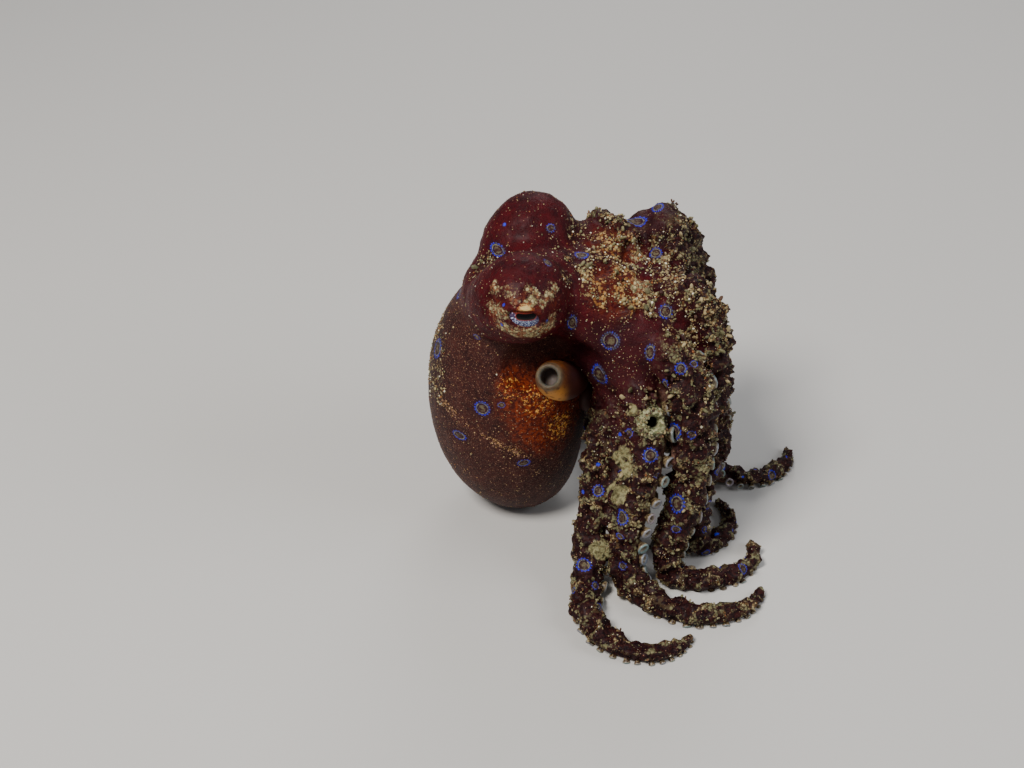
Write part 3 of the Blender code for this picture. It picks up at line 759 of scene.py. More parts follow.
def markings(places):
    arm, oral, share = arm_marks(places)
    raised = patch(places, RAISED_ARM, 4.0, 2.5)
    blotches = 0.5 + 0.5 * rippled(places + 15.0, 3.2, 3)
    crust = strongest(
        patch(places, (9.5, 10.5, 49.5), 7.0, 5.5),
        0.75 * patch(places, (0.0, 12.0, 52.0), 5.0, 4.0),
        0.45 * patch(places, (17.0, 20.0, 49.0), 6.0, 4.0),
        0.9 * mirrored_patch(places, (20.5, 4.0, 43.0), 5.0, 4.0),
    )
    crust *= 0.55 + 0.75 * blotches
    folds = ridged(places)
    # Crust gathers on the fold tops and thins in the creases: partly where it grows, partly a painted
    # shade in the creases.
    tops = soft((folds + 0.5) / 1.2)
    arm_crust = arm * (0.06 + 0.18 * tops + 0.6 * tops * soft((blotches - 0.3) / 0.4))
    crust = np.maximum(crust, arm_crust)
    crust *= (0.45 + 0.55 * tops) * (1.0 - 0.85 * raised)
    crust *= 1.0 - 0.8 * soft(-0.4 - folds)
    crust *= 1.0 - soft((oral - 0.3) / 0.4) * arm
    calm = strongest(
        mirrored_patch(places, (6.5, 1.0, 37.0), 6.5, 3.5),
        0.9 * mirrored_patch(places, (8.0, -1.0, 30.5), 4.5, 4.0),
        0.85 * mirrored_patch(places, (3.8, -1.0, 27.0), 2.0, 3.0),
        0.9 * raised,
    )
    bumps = on_bumps(places, 8.2)
    sac = ball_reach(places, MANTLE_CENTRE, SAC_RADII)
    mantle = (1.0 - soft((sac - 1.0) / 0.14)) * (1.0 - soft((places[:, 2] - 40.0) / 5.0))
    crust *= (1.0 - 0.92 * calm) * (1.0 - 0.9 * bumps) * (1.0 - 0.97 * mantle)
    crust = strongest(
        crust,
        0.5 * mantle * soft((-19.5 - places[:, 0]) / 2.0) * soft((places[:, 2] - 22.0) / 4.0),
        0.55 * mirrored_patch(places, (0.4, 5.5, 52.5), 1.5, 3.0),
        0.45 * patch(places, (-13.5, 12.0, 49.0), 1.5, 3.5),
    )
    ember = mirrored_patch(places, (6.5, 6.8, 48.0), 3.0, 3.5)
    glow = strongest(
        mirrored_patch(places, (-1.0, 2.5, 26.5), 5.5, 8.0) * mantle,
        0.8 * mirrored_patch(places, (-8.0, 2.0, 29.0), 2.0, 5.5) * mantle,
        mirrored_patch(places, (-8.0, 2.0, 33.0), 2.5, 3.5),
    )
    gold = strongest(
        mirrored_patch(places, (-1.5, 4.5, 22.5), 2.0, 2.5),
        0.9 * mirrored_patch(places, (-5.0, 2.5, 29.0), 2.6, 2.0),
        0.8 * mirrored_patch(places, (-9.5, 2.0, 32.0), 2.0, 2.0),
    )
    gold *= sac > 0.85
    # A faint line of tan grains runs slantwise down each side of the sac.
    slanting = places[:, 2] - 18.2 - 0.52 * (-6.0 - places[:, 0]) + 1.2 * (blotches - 0.5)
    line = hump(slanting, 0.0, 0.9)
    from_middle = np.abs(places[:, 1] - 14.0)
    line *= mantle * soft((-4.0 - places[:, 0]) / 3.0) * soft((from_middle - 4.5) / 3.0)
    broken = 0.35 + 0.65 * soft((rippled(places + 200.0, 3.0, 2) + 0.25) / 0.4)
    line *= broken * (1.0 - 0.4 * soft((places[:, 1] - 14.0) / 4.0))
    pale = 0.9 * mirrored_patch(places, (10.7, 7.9, 48.0), 1.0, 1.2)
    gleam = np.zeros(len(places))
    for side in EYE_BUMPS:
        ring, reach, across, above = lid_ring(places, side)
        across, above = across * reach / LID_REACH, above * reach / LID_REACH
        near = (ring < 8.0) * (reach < 9.0)
        for here, high, wide, tall, strength in LID_PATCHES:
            # The far bump is nearly bare along its top.
            strength *= 0.15 if side == "left" and high > 2.8 else 1.0
            spread = eye_spot(across, above, here, high, wide, tall)
            pale = np.maximum(pale, near * spread * strength)
        for here, high, wide, tall, strength in EMBER_PATCHES:
            spread = eye_spot(across, above, here, high, wide, tall)
            ember = np.maximum(ember, near * spread * strength)
        # A painted highlight: a cream-gold spot on each upper lid, just above the pupil.
        gleam = np.maximum(gleam, near * eye_spot(across, above, 0.15, 1.75, 1.15, 0.62))
    olive = strongest(*(patch(places, lump, wide * 0.5, wide * 0.7) for lump, wide in OLIVE_LUMPS))
    mouth = patch(places, MOUTH, 4.5, 4.0)
    under = np.maximum(soft((oral - 0.3) / 0.45) * arm * (1.0 - bumps), mouth)
    crust *= 1.0 - mouth
    return {
        "arm": arm, "oral": oral, "share": share, "under": under, "tops": tops, "crust": crust,
        "mantle": mantle, "calm": calm, "glow": glow, "gold": gold, "line": line, "pale": pale,
        "ember": ember, "gleam": gleam, "olive": olive, "bump": bumps, "raised": raised,
    }


marks = markings(places)

# Round the crater the hide is pale olive, and the rolled lip of the sac is gilt along its edge.
crater_rim = np.exp(-(((crater_ring - 1.9) / 0.9) ** 4))
marks["crust"] = np.maximum(marks["crust"] * soft((crater_ring - 0.8) / 0.5), 0.85 * crater_rim)
marks["crater"] = np.minimum(crater_ring, 6.0)
marks["lip"] = lip * soft((33.5 - places[:, 2]) / 2.0)
marks["gold"] = np.maximum(marks["gold"], marks["lip"])


def noted(mesh, name, values, kind="FLOAT", key="value"):
    """Values kept at the points of a mesh, under a name that its material can read."""
    kept = mesh.attributes.new(name, kind, "POINT")
    kept.data.foreach_set(key, values.astype(np.float32).ravel())


SEEN_MARKS = ["arm", "under", "tops", "crust", "mantle", "calm", "glow", "gold", "line", "pale"]
SEEN_MARKS += ["ember", "crater", "lip", "olive", "gleam"]
for name in SEEN_MARKS:
    noted(skin_mesh, name, marks[name])
noted(skin_mesh, "ring_reach", np.minimum(ring_reach, 6.0))
noted(skin_mesh, "ring", ring_marks, "FLOAT_VECTOR", "vector")


class Thread:
    """A value running between a material's nodes. A sum written on it adds the Math nodes that work
    it out."""

    def __init__(self, tree, socket=None):
        self.tree, self.socket = tree, socket

    def node(self, kind, settings, inputs, output=0):
        made = self.tree.nodes.new("ShaderNode" + kind)
        for name, value in settings.items():
            setattr(made, name, value)
        for key, value in inputs.items():
            if isinstance(value, Thread):
                self.tree.links.new(value.socket, made.inputs[key])
            else:
                made.inputs[key].default_value = value
        return Thread(self.tree, made.outputs[output])

    def maths(self, operation, *values):
        return self.node("Math", {"operation": operation}, dict(enumerate(values)))

    def __add__(self, other):
        return self.maths("ADD", self, other)

    def __sub__(self, other):
        return self.maths("SUBTRACT", self, other)

    def __rsub__(self, other):
        return self.maths("SUBTRACT", other, self)

    def __mul__(self, other):
        return self.maths("MULTIPLY", self, other)

    def __truediv__(self, other):
        return self.maths("DIVIDE", self, other)

    __radd__, __rmul__ = __add__, __mul__

    def rise(self, low, high):
        """0 up to low, 1 from high on, and an even slope between."""
        settings = {"interpolation_type": "SMOOTHSTEP"}
        return self.node("MapRange", settings, {"Value": self, "From Min": low, "From Max": high})

    def tint(self, off, on):
        """The colour off where this is 0 and on where it is 1."""
        off, on = (tone if isinstance(tone, Thread) else colour(*tone) for tone in (off, on))
        return self.node("Mix", {"data_type": "RGBA"}, {0: self, 6: off, 7: on}, output=2)

    def noise(self, scale, detail, roughness=0.5):
        """Cloudy noise over the places that this gives."""
        inputs = {"Vector": self, "Scale": scale, "Detail": detail, "Roughness": roughness}
        return self.node("TexNoise", {}, inputs)

    def cells(self, scale, output="Distance"):
        """How far each place lies from the middle of its cell."""
        return self.node("TexVoronoi", {}, {"Vector": self, "Scale": scale}, output=output)

    def cell_luck(self, scale, part="Red"):
        """A number from 0 to 1 that is each cell's own."""
        return self.node("SeparateColor", {}, {0: self.cells(scale, "Color")}, output=part)

    def along(self, way, start):
        """How far each place lies along a way from start."""
        inputs = {0: self, 1: way}
        reach = self.node("VectorMath", {"operation": "DOT_PRODUCT"}, inputs, output="Value")
        return reach - start.dot(way)

    def feed(self, shader, socket="Base Color"):
        self.tree.links.new(self.socket, shader.inputs[socket])


def colour(red, green, blue):
    """A colour named from 0 to 255 as the eye sees it, as the light that a material takes."""

    def light(part):
        return ((part / 255 + 0.055) / 1.055) ** 2.4 if part > 10 else part / 3294.6

    return (light(red), light(green), light(blue), 1.0)


def wet_finish(name, roughness, coat=0.55, coat_roughness=0.12):
    """A new wet-looking material, its shader, and a thread to draw its patterns with."""
    finish = bpy.data.materials.new(name)
    finish.use_nodes = True
    shader = finish.node_tree.nodes["Principled BSDF"]
    shader.inputs["Roughness"].default_value = roughness
    shader.inputs["Coat Weight"].default_value = coat
    shader.inputs["Coat Roughness"].default_value = coat_roughness
    return finish, shader, Thread(finish.node_tree)


def soak_light(shader, weight, reach, scale):
    """Flesh that light soaks into, deeper for red than for green and blue."""
    shader.inputs["Subsurface Weight"].default_value = weight
    shader.inputs["Subsurface Radius"].default_value = reach
    shader.inputs["Subsurface Scale"].default_value = scale


def in_millimetres(thread):
    """The place of the point being shaded, in the millimetres the animal is laid out in."""
    spot = thread.node("TexCoord", {}, {}, output="Object")
    shift = [-part / MM for part in ORIGIN]
    return thread.node("Mapping", {}, {"Vector": spot, "Location": shift, "Scale": (1 / MM,) * 3})


def mark(thread, name, output="Fac"):
    return thread.node("Attribute", {"attribute_name": name}, {}, output=output)


skin_finish, shader, thread = wet_finish("octopus_skin", 0.5, coat=0.03, coat_roughness=0.25)
spot = in_millimetres(thread)
blotch, mottle = spot.noise(0.32, 4.0, 0.6), spot.noise(1.5, 4.0, 0.65)
scurf, foil = spot.noise(0.95, 5.0, 0.62), spot.noise(1.9, 3.0, 0.7)
fine = spot.noise(3.4, 3.0, 0.6)
cells, specks, speck_luck = spot.cells(3.6), spot.cells(1.7), spot.cell_luck(1.7)
granules = 1.0 - spot.cells(2.1)
granule_luck, granule_tone = spot.cell_luck(2.1), spot.cell_luck(2.1, "Green")
arm_mark, crust_mark, mantle_mark = (mark(thread, name) for name in ("arm", "crust", "mantle"))
calm_mark, glow_mark, gold_mark = (mark(thread, name) for name in ("calm", "glow", "gold"))
tops, pale_mark, ember_mark = (mark(thread, name) for name in ("tops", "pale", "ember"))

head_colour = (blotch * 0.6 + mottle * 0.4).rise(0.3, 0.7).tint((38, 5, 11), (78, 13, 19))
sac_colour = (blotch * 0.5 + mottle * 0.5).rise(0.3, 0.7).tint((38, 17, 18), (72, 37, 32))
sac_grains = (1.0 - cells).rise(0.60, 0.92) * (0.35 + granule_luck * 0.4)
sac_colour = sac_grains.tint(sac_colour, (138, 100, 80))
# The arms' dark colours are partly their own tone and partly a painted shade laid over the arms.
arm_colour = mottle.rise(0.40, 0.62).tint((25, 8, 12), (54, 24, 22))
# Paler colour on the arms leans to the fold tops: partly its own pattern, partly painted light on the
# tops.
arm_colour = (scurf * 0.8 + tops * 0.3).rise(0.62, 0.70).tint(arm_colour, (68, 53, 37))
olive = (scurf * 0.4 + blotch * 0.6 + tops * 0.12).rise(0.60, 0.655)
olive_colour = granule_tone.tint((86, 83, 57), (134, 129, 95))
arm_colour = (olive * granules.rise(0.3, 0.6)).tint(arm_colour, olive_colour)
hide_colour = mantle_mark.tint(head_colour, sac_colour)
hide_colour = arm_mark.tint(hide_colour, arm_colour)
calm_colour = blotch.rise(0.3, 0.7).tint((40, 12, 17), (67, 25, 29))
hide_colour = (calm_mark * 0.8).tint(hide_colour, calm_colour)
under_colour = mottle.rise(0.35, 0.65).tint((86, 56, 48), (122, 92, 78))
hide_colour = mark(thread, "under").tint(hide_colour, under_colour)
under_crust = crust_mark.rise(0.05, 0.5) * (1.0 - arm_mark) * 0.6
hide_colour = under_crust.tint(hide_colour, (38, 16, 18))
hide_colour = (ember_mark * mottle.rise(0.35, 0.6) * 0.6).tint(hide_colour, (106, 44, 20))
crusted = (crust_mark * 0.7 + scurf * 1.2 + granule_luck * 0.3 - 1.13).rise(0.0, 0.1)
crusted = crusted * granules.rise(0.35, 0.55)
crust_colour = granule_tone.rise(0.25, 0.75).tint((98, 68, 40), (176, 156, 114))
crust_colour = blotch.rise(0.5, 0.6).tint(crust_colour, (132, 126, 92))
ember_crust = granule_tone.tint((150, 88, 36), (214, 160, 84))
crust_colour = (ember_mark * 0.6).tint(crust_colour, ember_crust)
hide_colour = (crusted * 0.9).tint(hide_colour, crust_colour)
glowing = glow_mark * (0.3 + blotch * 0.9)
glow_colour = mottle.rise(0.4, 0.65).tint((72, 19, 12), (148, 58, 22))
hide_colour = glowing.rise(0.05, 1.0).tint(hide_colour, glow_colour)
flecks = (gold_mark * 0.35 + foil * 1.7 - 1.24).rise(0.0, 0.14) * gold_mark.rise(0.05, 0.3)
gilt = mark(thread, "lip").rise(0.25, 0.8) * foil.rise(0.42, 0.6)
hide_colour = thread.maths("MAXIMUM", flecks, gilt * 0.85).tint(hide_colour, (236, 172, 84))
on_line = (mark(thread, "line") + mottle * 0.8 - 0.75).rise(0.0, 0.4)
line_grit = (1.0 - cells).rise(0.5, 0.8) * on_line
hide_colour = line_grit.tint(hide_colour, (158, 122, 78))
pale = (pale_mark + scurf * 0.9 + fine * 0.9 + granule_luck * 0.2 - 1.21).rise(0.0, 0.32)
pale = pale * (0.25 + granules.rise(0.3, 0.52) * 0.75)
pale_colour = granule_tone.rise(0.1, 0.9).tint((122, 102, 66), (200, 180, 134))
pale_olive = granule_luck.tint((134, 130, 92), (190, 186, 146))
pale_colour = (foil.rise(0.46, 0.58) * 0.8).tint(pale_colour, pale_olive)
pale_colour = (granule_luck.rise(0.66, 0.76) * 0.75).tint(pale_colour, (120, 44, 20))
hide_colour = (pale * 0.92).tint(hide_colour, pale_colour)
# The painted highlight over each pupil: cream-gold, going orange at its edge, on the upper lid.
gleam = mark(thread, "gleam") + fine * 0.9 + granule_luck * 0.2 - 0.55
gleam_colour = gleam.rise(0.35, 0.85).tint((150, 78, 34), (212, 184, 124))
hide_colour = gleam.rise(0.22, 0.6).tint(hide_colour, gleam_colour)
olive_flesh = (mark(thread, "olive") + scurf * 0.8 - 0.85).rise(0.0, 0.25)
olive_colour = mottle.rise(0.35, 0.6).tint((92, 84, 54), (158, 152, 110))
hide_colour = (olive_flesh * 0.85).tint(hide_colour, olive_colour)
dotted = (1.0 - specks).rise(0.82, 0.92) * speck_luck.rise(0.50, 0.55)
hide_colour = (dotted * 0.7).tint(hide_colour, (190, 146, 118))
crater_mark = mark(thread, "crater")
off_wall = thread.maths("ABSOLUTE", crater_mark - 1.75 + scurf * 0.8 - 0.4)
crater_wall = 1.0 - off_wall.rise(0.75, 1.05)
crater_colour = granule_tone.rise(0.2, 0.8).tint((112, 114, 82), (178, 176, 138))
hide_colour = crater_wall.tint(hide_colour, crater_colour)
# Painted shade: the bottom of the crater's pit is near-black.
hide_colour = (1.0 - crater_mark.rise(0.72, 0.95)).tint(hide_colour, (10, 14, 8))

ring_spot = mark(thread, "ring", output="Vector")
across, over, beads = (thread.node("SeparateXYZ", {}, {0: ring_spot}, output=i) for i in range(3))
ring_here = thread.maths("SQRT", across * across + over * over)
bead_count = thread.maths("MAXIMUM", beads, 1.0)
turn = thread.maths("ARCTAN2", over, across) / math.tau * bead_count
off_bead = turn - thread.maths("ROUND", turn)
along = off_bead * (math.tau * 0.9) / bead_count
off_band = thread.maths("ABSOLUTE", ring_here - 0.86 + mottle * 0.14 - 0.07)
off_centre = ring_here - 0.93
bead_reach = thread.maths("SQRT", along * along + off_centre * off_centre * 0.6)
here_a_ring = 1.0 - mark(thread, "ring_reach").rise(1.02, 1.14)
is_ring = beads.rise(4.0, 5.0) * here_a_ring
bead = (1.0 - (bead_reach + mottle * 0.12 - 0.06).rise(0.035, 0.11)) * is_ring
band = (1.0 - off_band.rise(0.02, 0.09)) * foil.rise(0.4, 0.52) * is_ring
dot = (1.0 - ring_here.rise(0.55, 0.95)) * (1.0 - beads.rise(4.0, 5.0)) * here_a_ring
halo = 1.0 - mark(thread, "ring_reach").rise(0.95, 1.5)
off_inner = thread.maths("ABSOLUTE", ring_here - 0.7 + mottle * 0.14 - 0.07)
inner = (1.0 - off_inner.rise(0.02, 0.10)) * is_ring * mottle.rise(0.36, 0.52)
middle = (1.0 - ring_here.rise(0.35, 0.55)) * is_ring
hide_colour = (halo * 0.65).tint(hide_colour, (44, 18, 34))
middle_colour = mottle.rise(0.42, 0.6).tint((66, 40, 34), (128, 120, 90))
hide_colour = (middle * 0.6).tint(hide_colour, middle_colour)
inner_colour = foil.rise(0.42, 0.58).tint((92, 104, 158), (158, 156, 118))
hide_colour = (inner * 0.65).tint(hide_colour, inner_colour)
blue = mottle.rise(0.3, 0.65).tint((24, 16, 200), (52, 66, 252))
dull = thread.maths("MAXIMUM", arm_mark, mantle_mark * 0.6)
dull = scurf.rise(0.42, 0.56) * (1.0 - dull * 0.75)
blue = dull.tint(blue, (84, 98, 118))
spots = thread.maths("MAXIMUM", thread.maths("MAXIMUM", bead, dot), band * 0.72)
hide_colour = (spots * (0.9 - dull * 0.35)).tint(hide_colour, blue)
hide_colour.feed(shader)
wetness = 0.54 + crusted * 0.14 - glowing * 0.1
wetness.feed(shader, "Roughness")
grain_height = (1.0 - cells) * 0.7 + mottle * 0.8 + granules * (crusted + pale) * 1.6
bump = thread.node("Bump", {}, {"Strength": 0.7, "Distance": 0.00017, "Height": grain_height})
bump.feed(shader, "Normal")
shader.inputs["Specular IOR Level"].default_value = 0.1
soak_light(shader, 0.12, (1.0, 0.35, 0.2), 0.0012)


# What the other pieces need of the hide, kept before it is put in its place: its triangles, their
# map and markings.
skin_mesh.calc_loop_triangles()
corners = read(skin_mesh.loop_triangles, "vertices", 3, np.int32)
corner_loops = read(skin_mesh.loop_triangles, "loops", 3, np.int32)
corner_map = read(skin_mesh.uv_layers["OFBake"].uv, "vector", 2)[corner_loops]

skin_mesh.materials.clear()
skin = collect("skin", skin_mesh, skin_finish)
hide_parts(*FLESH)

# The eyes. Each is a wet ball sunk in its bump, with a bar pupil that smiles a little, an ember-
# coloured rim round it, a pale blue band dotted with indigo below, and a painted highlight along
# its top.


def eye_finish(side):
    finish, shader, thread = wet_finish(f"eye_{side}", 0.25, coat=0.15, coat_roughness=0.05)
    middle, forwards, up, _ = eye_axes(side)
    spot = in_millimetres(thread)
    across, over = spot.along(forwards, middle) - 0.25, spot.along(up, middle) - 0.28
    grain, cells = spot.noise(2.6, 3.0), spot.cells(2.9)
    bowed = over - across * across * 0.05
    wide = thread.maths("MAXIMUM", thread.maths("ABSOLUTE", across) - 1.05, 0.0)
    from_bar = thread.maths("SQRT", wide * wide + bowed * bowed)
    iris = grain.rise(0.4, 0.62).tint((46, 36, 70), (86, 70, 96))
    crescent = (0.0 - over).rise(0.42, 0.7) * (0.45 + grain.rise(0.35, 0.6) * 0.5)
    crescent = crescent * (1.0 - across.rise(0.4, 2.2) * 0.6)
    crescent = crescent * (1.0 - (0.0 - across).rise(1.6, 2.8) * 0.5)
    silver = (1.0 - spot.cells(5.2)).rise(0.4, 0.7).tint((50, 58, 108), (160, 172, 182))
    iris = crescent.tint(iris, silver)
    dotted = (1.0 - cells).rise(0.52, 0.72) * (0.0 - across).rise(0.7, 1.5)
    iris = dotted.tint(iris, (186, 188, 216))
    iris = (over + grain * 0.5).rise(0.55, 1.0).tint(iris, (118, 44, 18))
    # A painted highlight: orange-gold across the top of the eyeball, under the upper lid.
    gleam = (over - across * across * 0.22).rise(0.7, 1.15)
    iris = (gleam * 0.7).tint(iris, (190, 112, 46))
    rim = 1.0 - from_bar.rise(0.5, 0.72)
    iris = (rim * (0.5 + grain * 0.6)).tint(iris, (146, 50, 16))
    iris = (1.0 - from_bar.rise(0.44, 0.53)).tint(iris, (3, 2, 3))
    iris.feed(shader)
    shader.inputs["Specular IOR Level"].default_value = 0.25
    return finish


for side in EYE_BUMPS:
    middle, _, _, out = eye_axes(side)
    ball = bmesh.new()
    place = Matrix.Translation(middle) @ out.to_track_quat("Z", "Y").to_matrix().to_4x4()
    bmesh.ops.create_uvsphere(ball, u_segments=48, v_segments=32, radius=EYEBALL_RADIUS, matrix=place)
    eye = collect(f"eyeball_{side}", ball, eye_finish(side))
    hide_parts(f"eye_{side}")

# The funnel. The jet tube leaves the pocket under the right eye: an amber, swollen tube, open at
# the end, with a pale rim rolled back round the mouth and a grey lining. A ball of flesh beside its
# root fills the gap that is left between the sac and the arms.
FUNNEL_PATH = (Vector((-0.3, 9.0, 29.5)), Vector((-1.8, 1.0, 32.5)), Vector((-3.9, -3.4, 38.2)))
FUNNEL_AIM = Vector((-0.25, -0.75, 0.6)).normalized()
FUNNEL_ROOT_FLESH = Vector((3.1, 11.0, 24.4))
FUNNEL_ROOT_RADIUS, FUNNEL_MOUTH_RADIUS, FUNNEL_BORE_RADIUS = 3.5, 2.1, 1.38


def funnel_stations(count):
    root, bend, mouth = FUNNEL_PATH
    leave, arrive = (bend - root) * 2, FUNNEL_AIM * (mouth - bend).length * 1.5
    stations = []
    for i in range(count + 1):
        share = i / count
        centre = hermite(root, leave, mouth, arrive, share)
        ahead = hermite(root, leave, mouth, arrive, min(1.0, share + 0.02))
        behind = hermite(root, leave, mouth, arrive, max(0.0, share - 0.02))
        along = (ahead - behind).normalized()
        stations.append((share, centre, along, (Y_AXIS - along * along.y).normalized()))
    return stations


funnel_shape = bmesh.new()
sections = []
stations = funnel_stations(24)
for share, centre, along, first in stations:
    radius = FUNNEL_ROOT_RADIUS + (FUNNEL_MOUTH_RADIUS - FUNNEL_ROOT_RADIUS) * share
    radius += 0.55 * math.sin(math.pi * share**1.8) ** 1.2
    sections.append((centre, first, along.cross(first), radius))
_, mouth, along, first = stations[-1]
rim_width = (FUNNEL_MOUTH_RADIUS - FUNNEL_BORE_RADIUS) / 2
for i in range(1, 9):
    turn = math.pi * i / 8
    radius = FUNNEL_MOUTH_RADIUS - rim_width * (1.0 - math.cos(turn))
    centre = mouth + along * rim_width * math.sin(turn)
    sections.append((centre, first, along.cross(first), radius))
for share, centre, along, first in stations[-2:18:-1]:
    radius = FUNNEL_BORE_RADIUS + 0.35 * (1.0 - share)
    sections.append((centre, first, along.cross(first), radius))
sweep(funnel_shape, sections, sides=32)
add_ball(funnel_shape, FUNNEL_ROOT_FLESH, (2.4, 2.6, 2.8), segments=(24, 16))
bmesh.ops.recalc_face_normals(funnel_shape, faces=funnel_shape.faces)

finish, shader, thread = wet_finish("funnel_skin", 0.55, coat=0.04, coat_roughness=0.25)
shader.inputs["Specular IOR Level"].default_value = 0.18
soak_light(shader, 0.3, (1.0, 0.5, 0.2), 0.0015)
spot = in_millimetres(thread)
grain, cells = spot.noise(1.1, 3.0), spot.cells(3.6)
ahead = spot.along(FUNNEL_AIM, FUNNEL_PATH[2])
sideways = spot.along(X_AXIS, FUNNEL_PATH[2])
lengthways = spot.along(FUNNEL_AIM.cross(X_AXIS).normalized(), FUNNEL_PATH[2])
from_axis = thread.maths("SQRT", sideways * sideways + lengthways * lengthways)
tube = grain.rise(0.35, 0.65).tint((68, 27, 6), (112, 58, 17))
tube = ((1.0 - cells).rise(0.7, 0.9) * 0.4).tint(tube, (200, 136, 60))
under = (0.0 - lengthways).rise(0.8, 3.0) * grain.rise(0.25, 0.5)
tube = (under * 0.8).tint(tube, (196, 134, 54))
lip_colour = grain.rise(0.35, 0.65).tint((78, 58, 40), (98, 84, 62))
tube = (0.0 - ahead + grain * 0.8 - 0.4).rise(-0.2, 1.4).tint(lip_colour, tube)
# Painted shadow: the side of the tube towards the arms is darkened to a deep brown.
tube = (sideways + grain * 1.2 - 0.6).rise(1.6, 3.8).tint(tube, (52, 20, 14))
# The lining is painted lighter deeper in the bore, as painted light against the shade inside the
# tube.
lining = (1.0 - from_axis.rise(1.35, 1.95)) * ahead.rise(-7.0, -6.0)
lining_colour = (0.0 - ahead).rise(-0.3, 0.9).tint((80, 77, 66), (98, 86, 80))
lining.tint(tube, lining_colour).feed(shader)
funnel = collect("jet_funnel", funnel_shape, finish)
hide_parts("funnel")

# The suckers. Two rows of small pale cups run down the sucker side of every arm, standing on short
# necks. Each is turned from the same shape, and they shrink towards the tip.
MAP_PATCH = 0.003  # how wide a grain's own patch of the skin's map is


def strewn(name, shape, finish, roots, ways, spins, sizes, tints, map_spots=None):
    """One mesh of many copies of a small closed shape: where each stands, the way it points, how far
    it is spun about that way, its three sizes, its colour, and its spot on the skin's map."""
    bmesh.ops.triangulate(shape, faces=shape.faces)
    bmesh.ops.recalc_face_normals(shape, faces=shape.faces)
    shape.verts.index_update()
    own = np.array([vert.co for vert in shape.verts])
    own_faces = np.array([[vert.index for vert in face.verts] for face in shape.faces])
    shape.free()
    ways = np.array(ways) / np.linalg.norm(ways, axis=1)[:, None]
    helper = np.where(np.abs(ways[:, 2:3]) < 0.9, (0.0, 0.0, 1.0), (1.0, 0.0, 0.0))
    first = np.cross(helper, ways)
    first /= np.linalg.norm(first, axis=1)[:, None]
    second = np.cross(ways, first)
    cosine, sine = np.cos(spins)[:, None], np.sin(spins)[:, None]
    first, second = first * cosine + second * sine, second * cosine - first * sine
    sizes = np.array(sizes)
    points = np.array(roots)[:, None, :]
    for i, way in enumerate((first, second, ways)):
        points = points + own[None, :, i : i + 1] * (way * sizes[:, i : i + 1])[:, None, :]
    points[:, :, 2] = np.maximum(points[:, :, 2], 0.0)
    count = len(points)
    faces = (own_faces[None] + (np.arange(count) * len(own))[:, None, None]).reshape(-1, 3)
    mesh = bpy.data.meshes.new(name)
    mesh.from_pydata(points.reshape(-1, 3).tolist(), [], faces.tolist())
    colours = np.ones((count, len(own), 4), np.float32)
    colours[:, :, :3] = np.array(tints)[:, None, :3]
    noted(mesh, "tint", colours, "FLOAT_COLOR", "color")
    noted(mesh, "height", np.tile(own[:, 2], count))
    if map_spots is not None:
        flat = own[:, :2] / np.abs(own[:, :2]).max() * MAP_PATCH / 2
        spots = np.array(map_spots)[:, None, None, :] + flat[own_faces][None]
        mesh.uv_layers.new(name="OFBake").uv.foreach_set("vector", spots.astype(np.float32).ravel())
    return collect(name, mesh, finish)


SUCKER_PROFILE = [(0.55, -0.7), (0.58, 0.0), (0.92, 0.45), (1.0, 0.72), (0.86, 0.86)]
SUCKER_PROFILE += [(0.5, 0.62), (0.22, 0.25)]
SUCKERS_START, SUCKERS_ALL = 5.0, 16.0  # nearer the crown than the second, some are covered by web
SUCKER_SPACING = 1.38
sucker_shape = bmesh.new()
sections = [(Z_AXIS * height, X_AXIS, Y_AXIS, radius) for radius, height in SUCKER_PROFILE]
sweep(sucker_shape, sections, sides=9)
roots, ways, sizes, tints = [], [], [], []
for name, stations in ARM_LINES.items():
    whole = ARMS[name][-1]
    distance, row = SUCKERS_START, 1
    while distance < whole * 0.985:
        index = min(len(stations) - 1, round(distance / STATION_STEP))
        centre, along, facing = stations[index]
        radius = arm_radius(distance, whole)
        width = (0.31 * radius + 0.12) * luck.uniform(0.86, 1.1)
        splay = 0.66 + 0.26 * min(1.0, max(0.0, (distance - SUCKERS_ALL) / 10.0))
        lean = facing * math.cos(splay) + along.cross(facing) * (row * math.sin(splay))
        flat = math.hypot(math.cos(splay) * ORAL_FLATNESS * ORAL_SHRINK, math.sin(splay))
        root = centre + lean * (radius - COAT_DEPTH) * flat
        way = lean + along * luck.uniform(-0.15, 0.35) + facing * luck.uniform(-0.2, 0.2)
        tint = colour(*(part + luck.randint(-8, 8) for part in (122, 128, 128)))
        close = hide_tree.find(root)[1]
        outwards = (root - Vector(places[close])).dot(Vector(normals[close]))
        if distance > SUCKERS_ALL or marks["under"][close] > 0.1 and outwards > -0.6:
            roots.append(root)
            ways.append(way.normalized())
            sizes.append((width, width, width * 1.35))
            tints.append(tint)
        distance += width * SUCKER_SPACING
        row = -row
finish, shader, thread = wet_finish("sucker_skin", 0.4, coat=0.2)
cup = mark(thread, "height")
scurf = in_millimetres(thread).noise(3.0, 2.0)
cup_colour = scurf.rise(0.42, 0.58).tint((58, 34, 26), (128, 112, 78))
cup_colour = cup.rise(0.45, 0.66).tint(cup_colour, (126, 112, 92))
cup.rise(0.64, 0.74).tint(cup_colour, mark(thread, "tint", output="Color")).feed(shader)
spins = np.zeros(len(roots))
suckers = strewn("suckers", sucker_shape, finish, roots, ways, spins, sizes, tints)

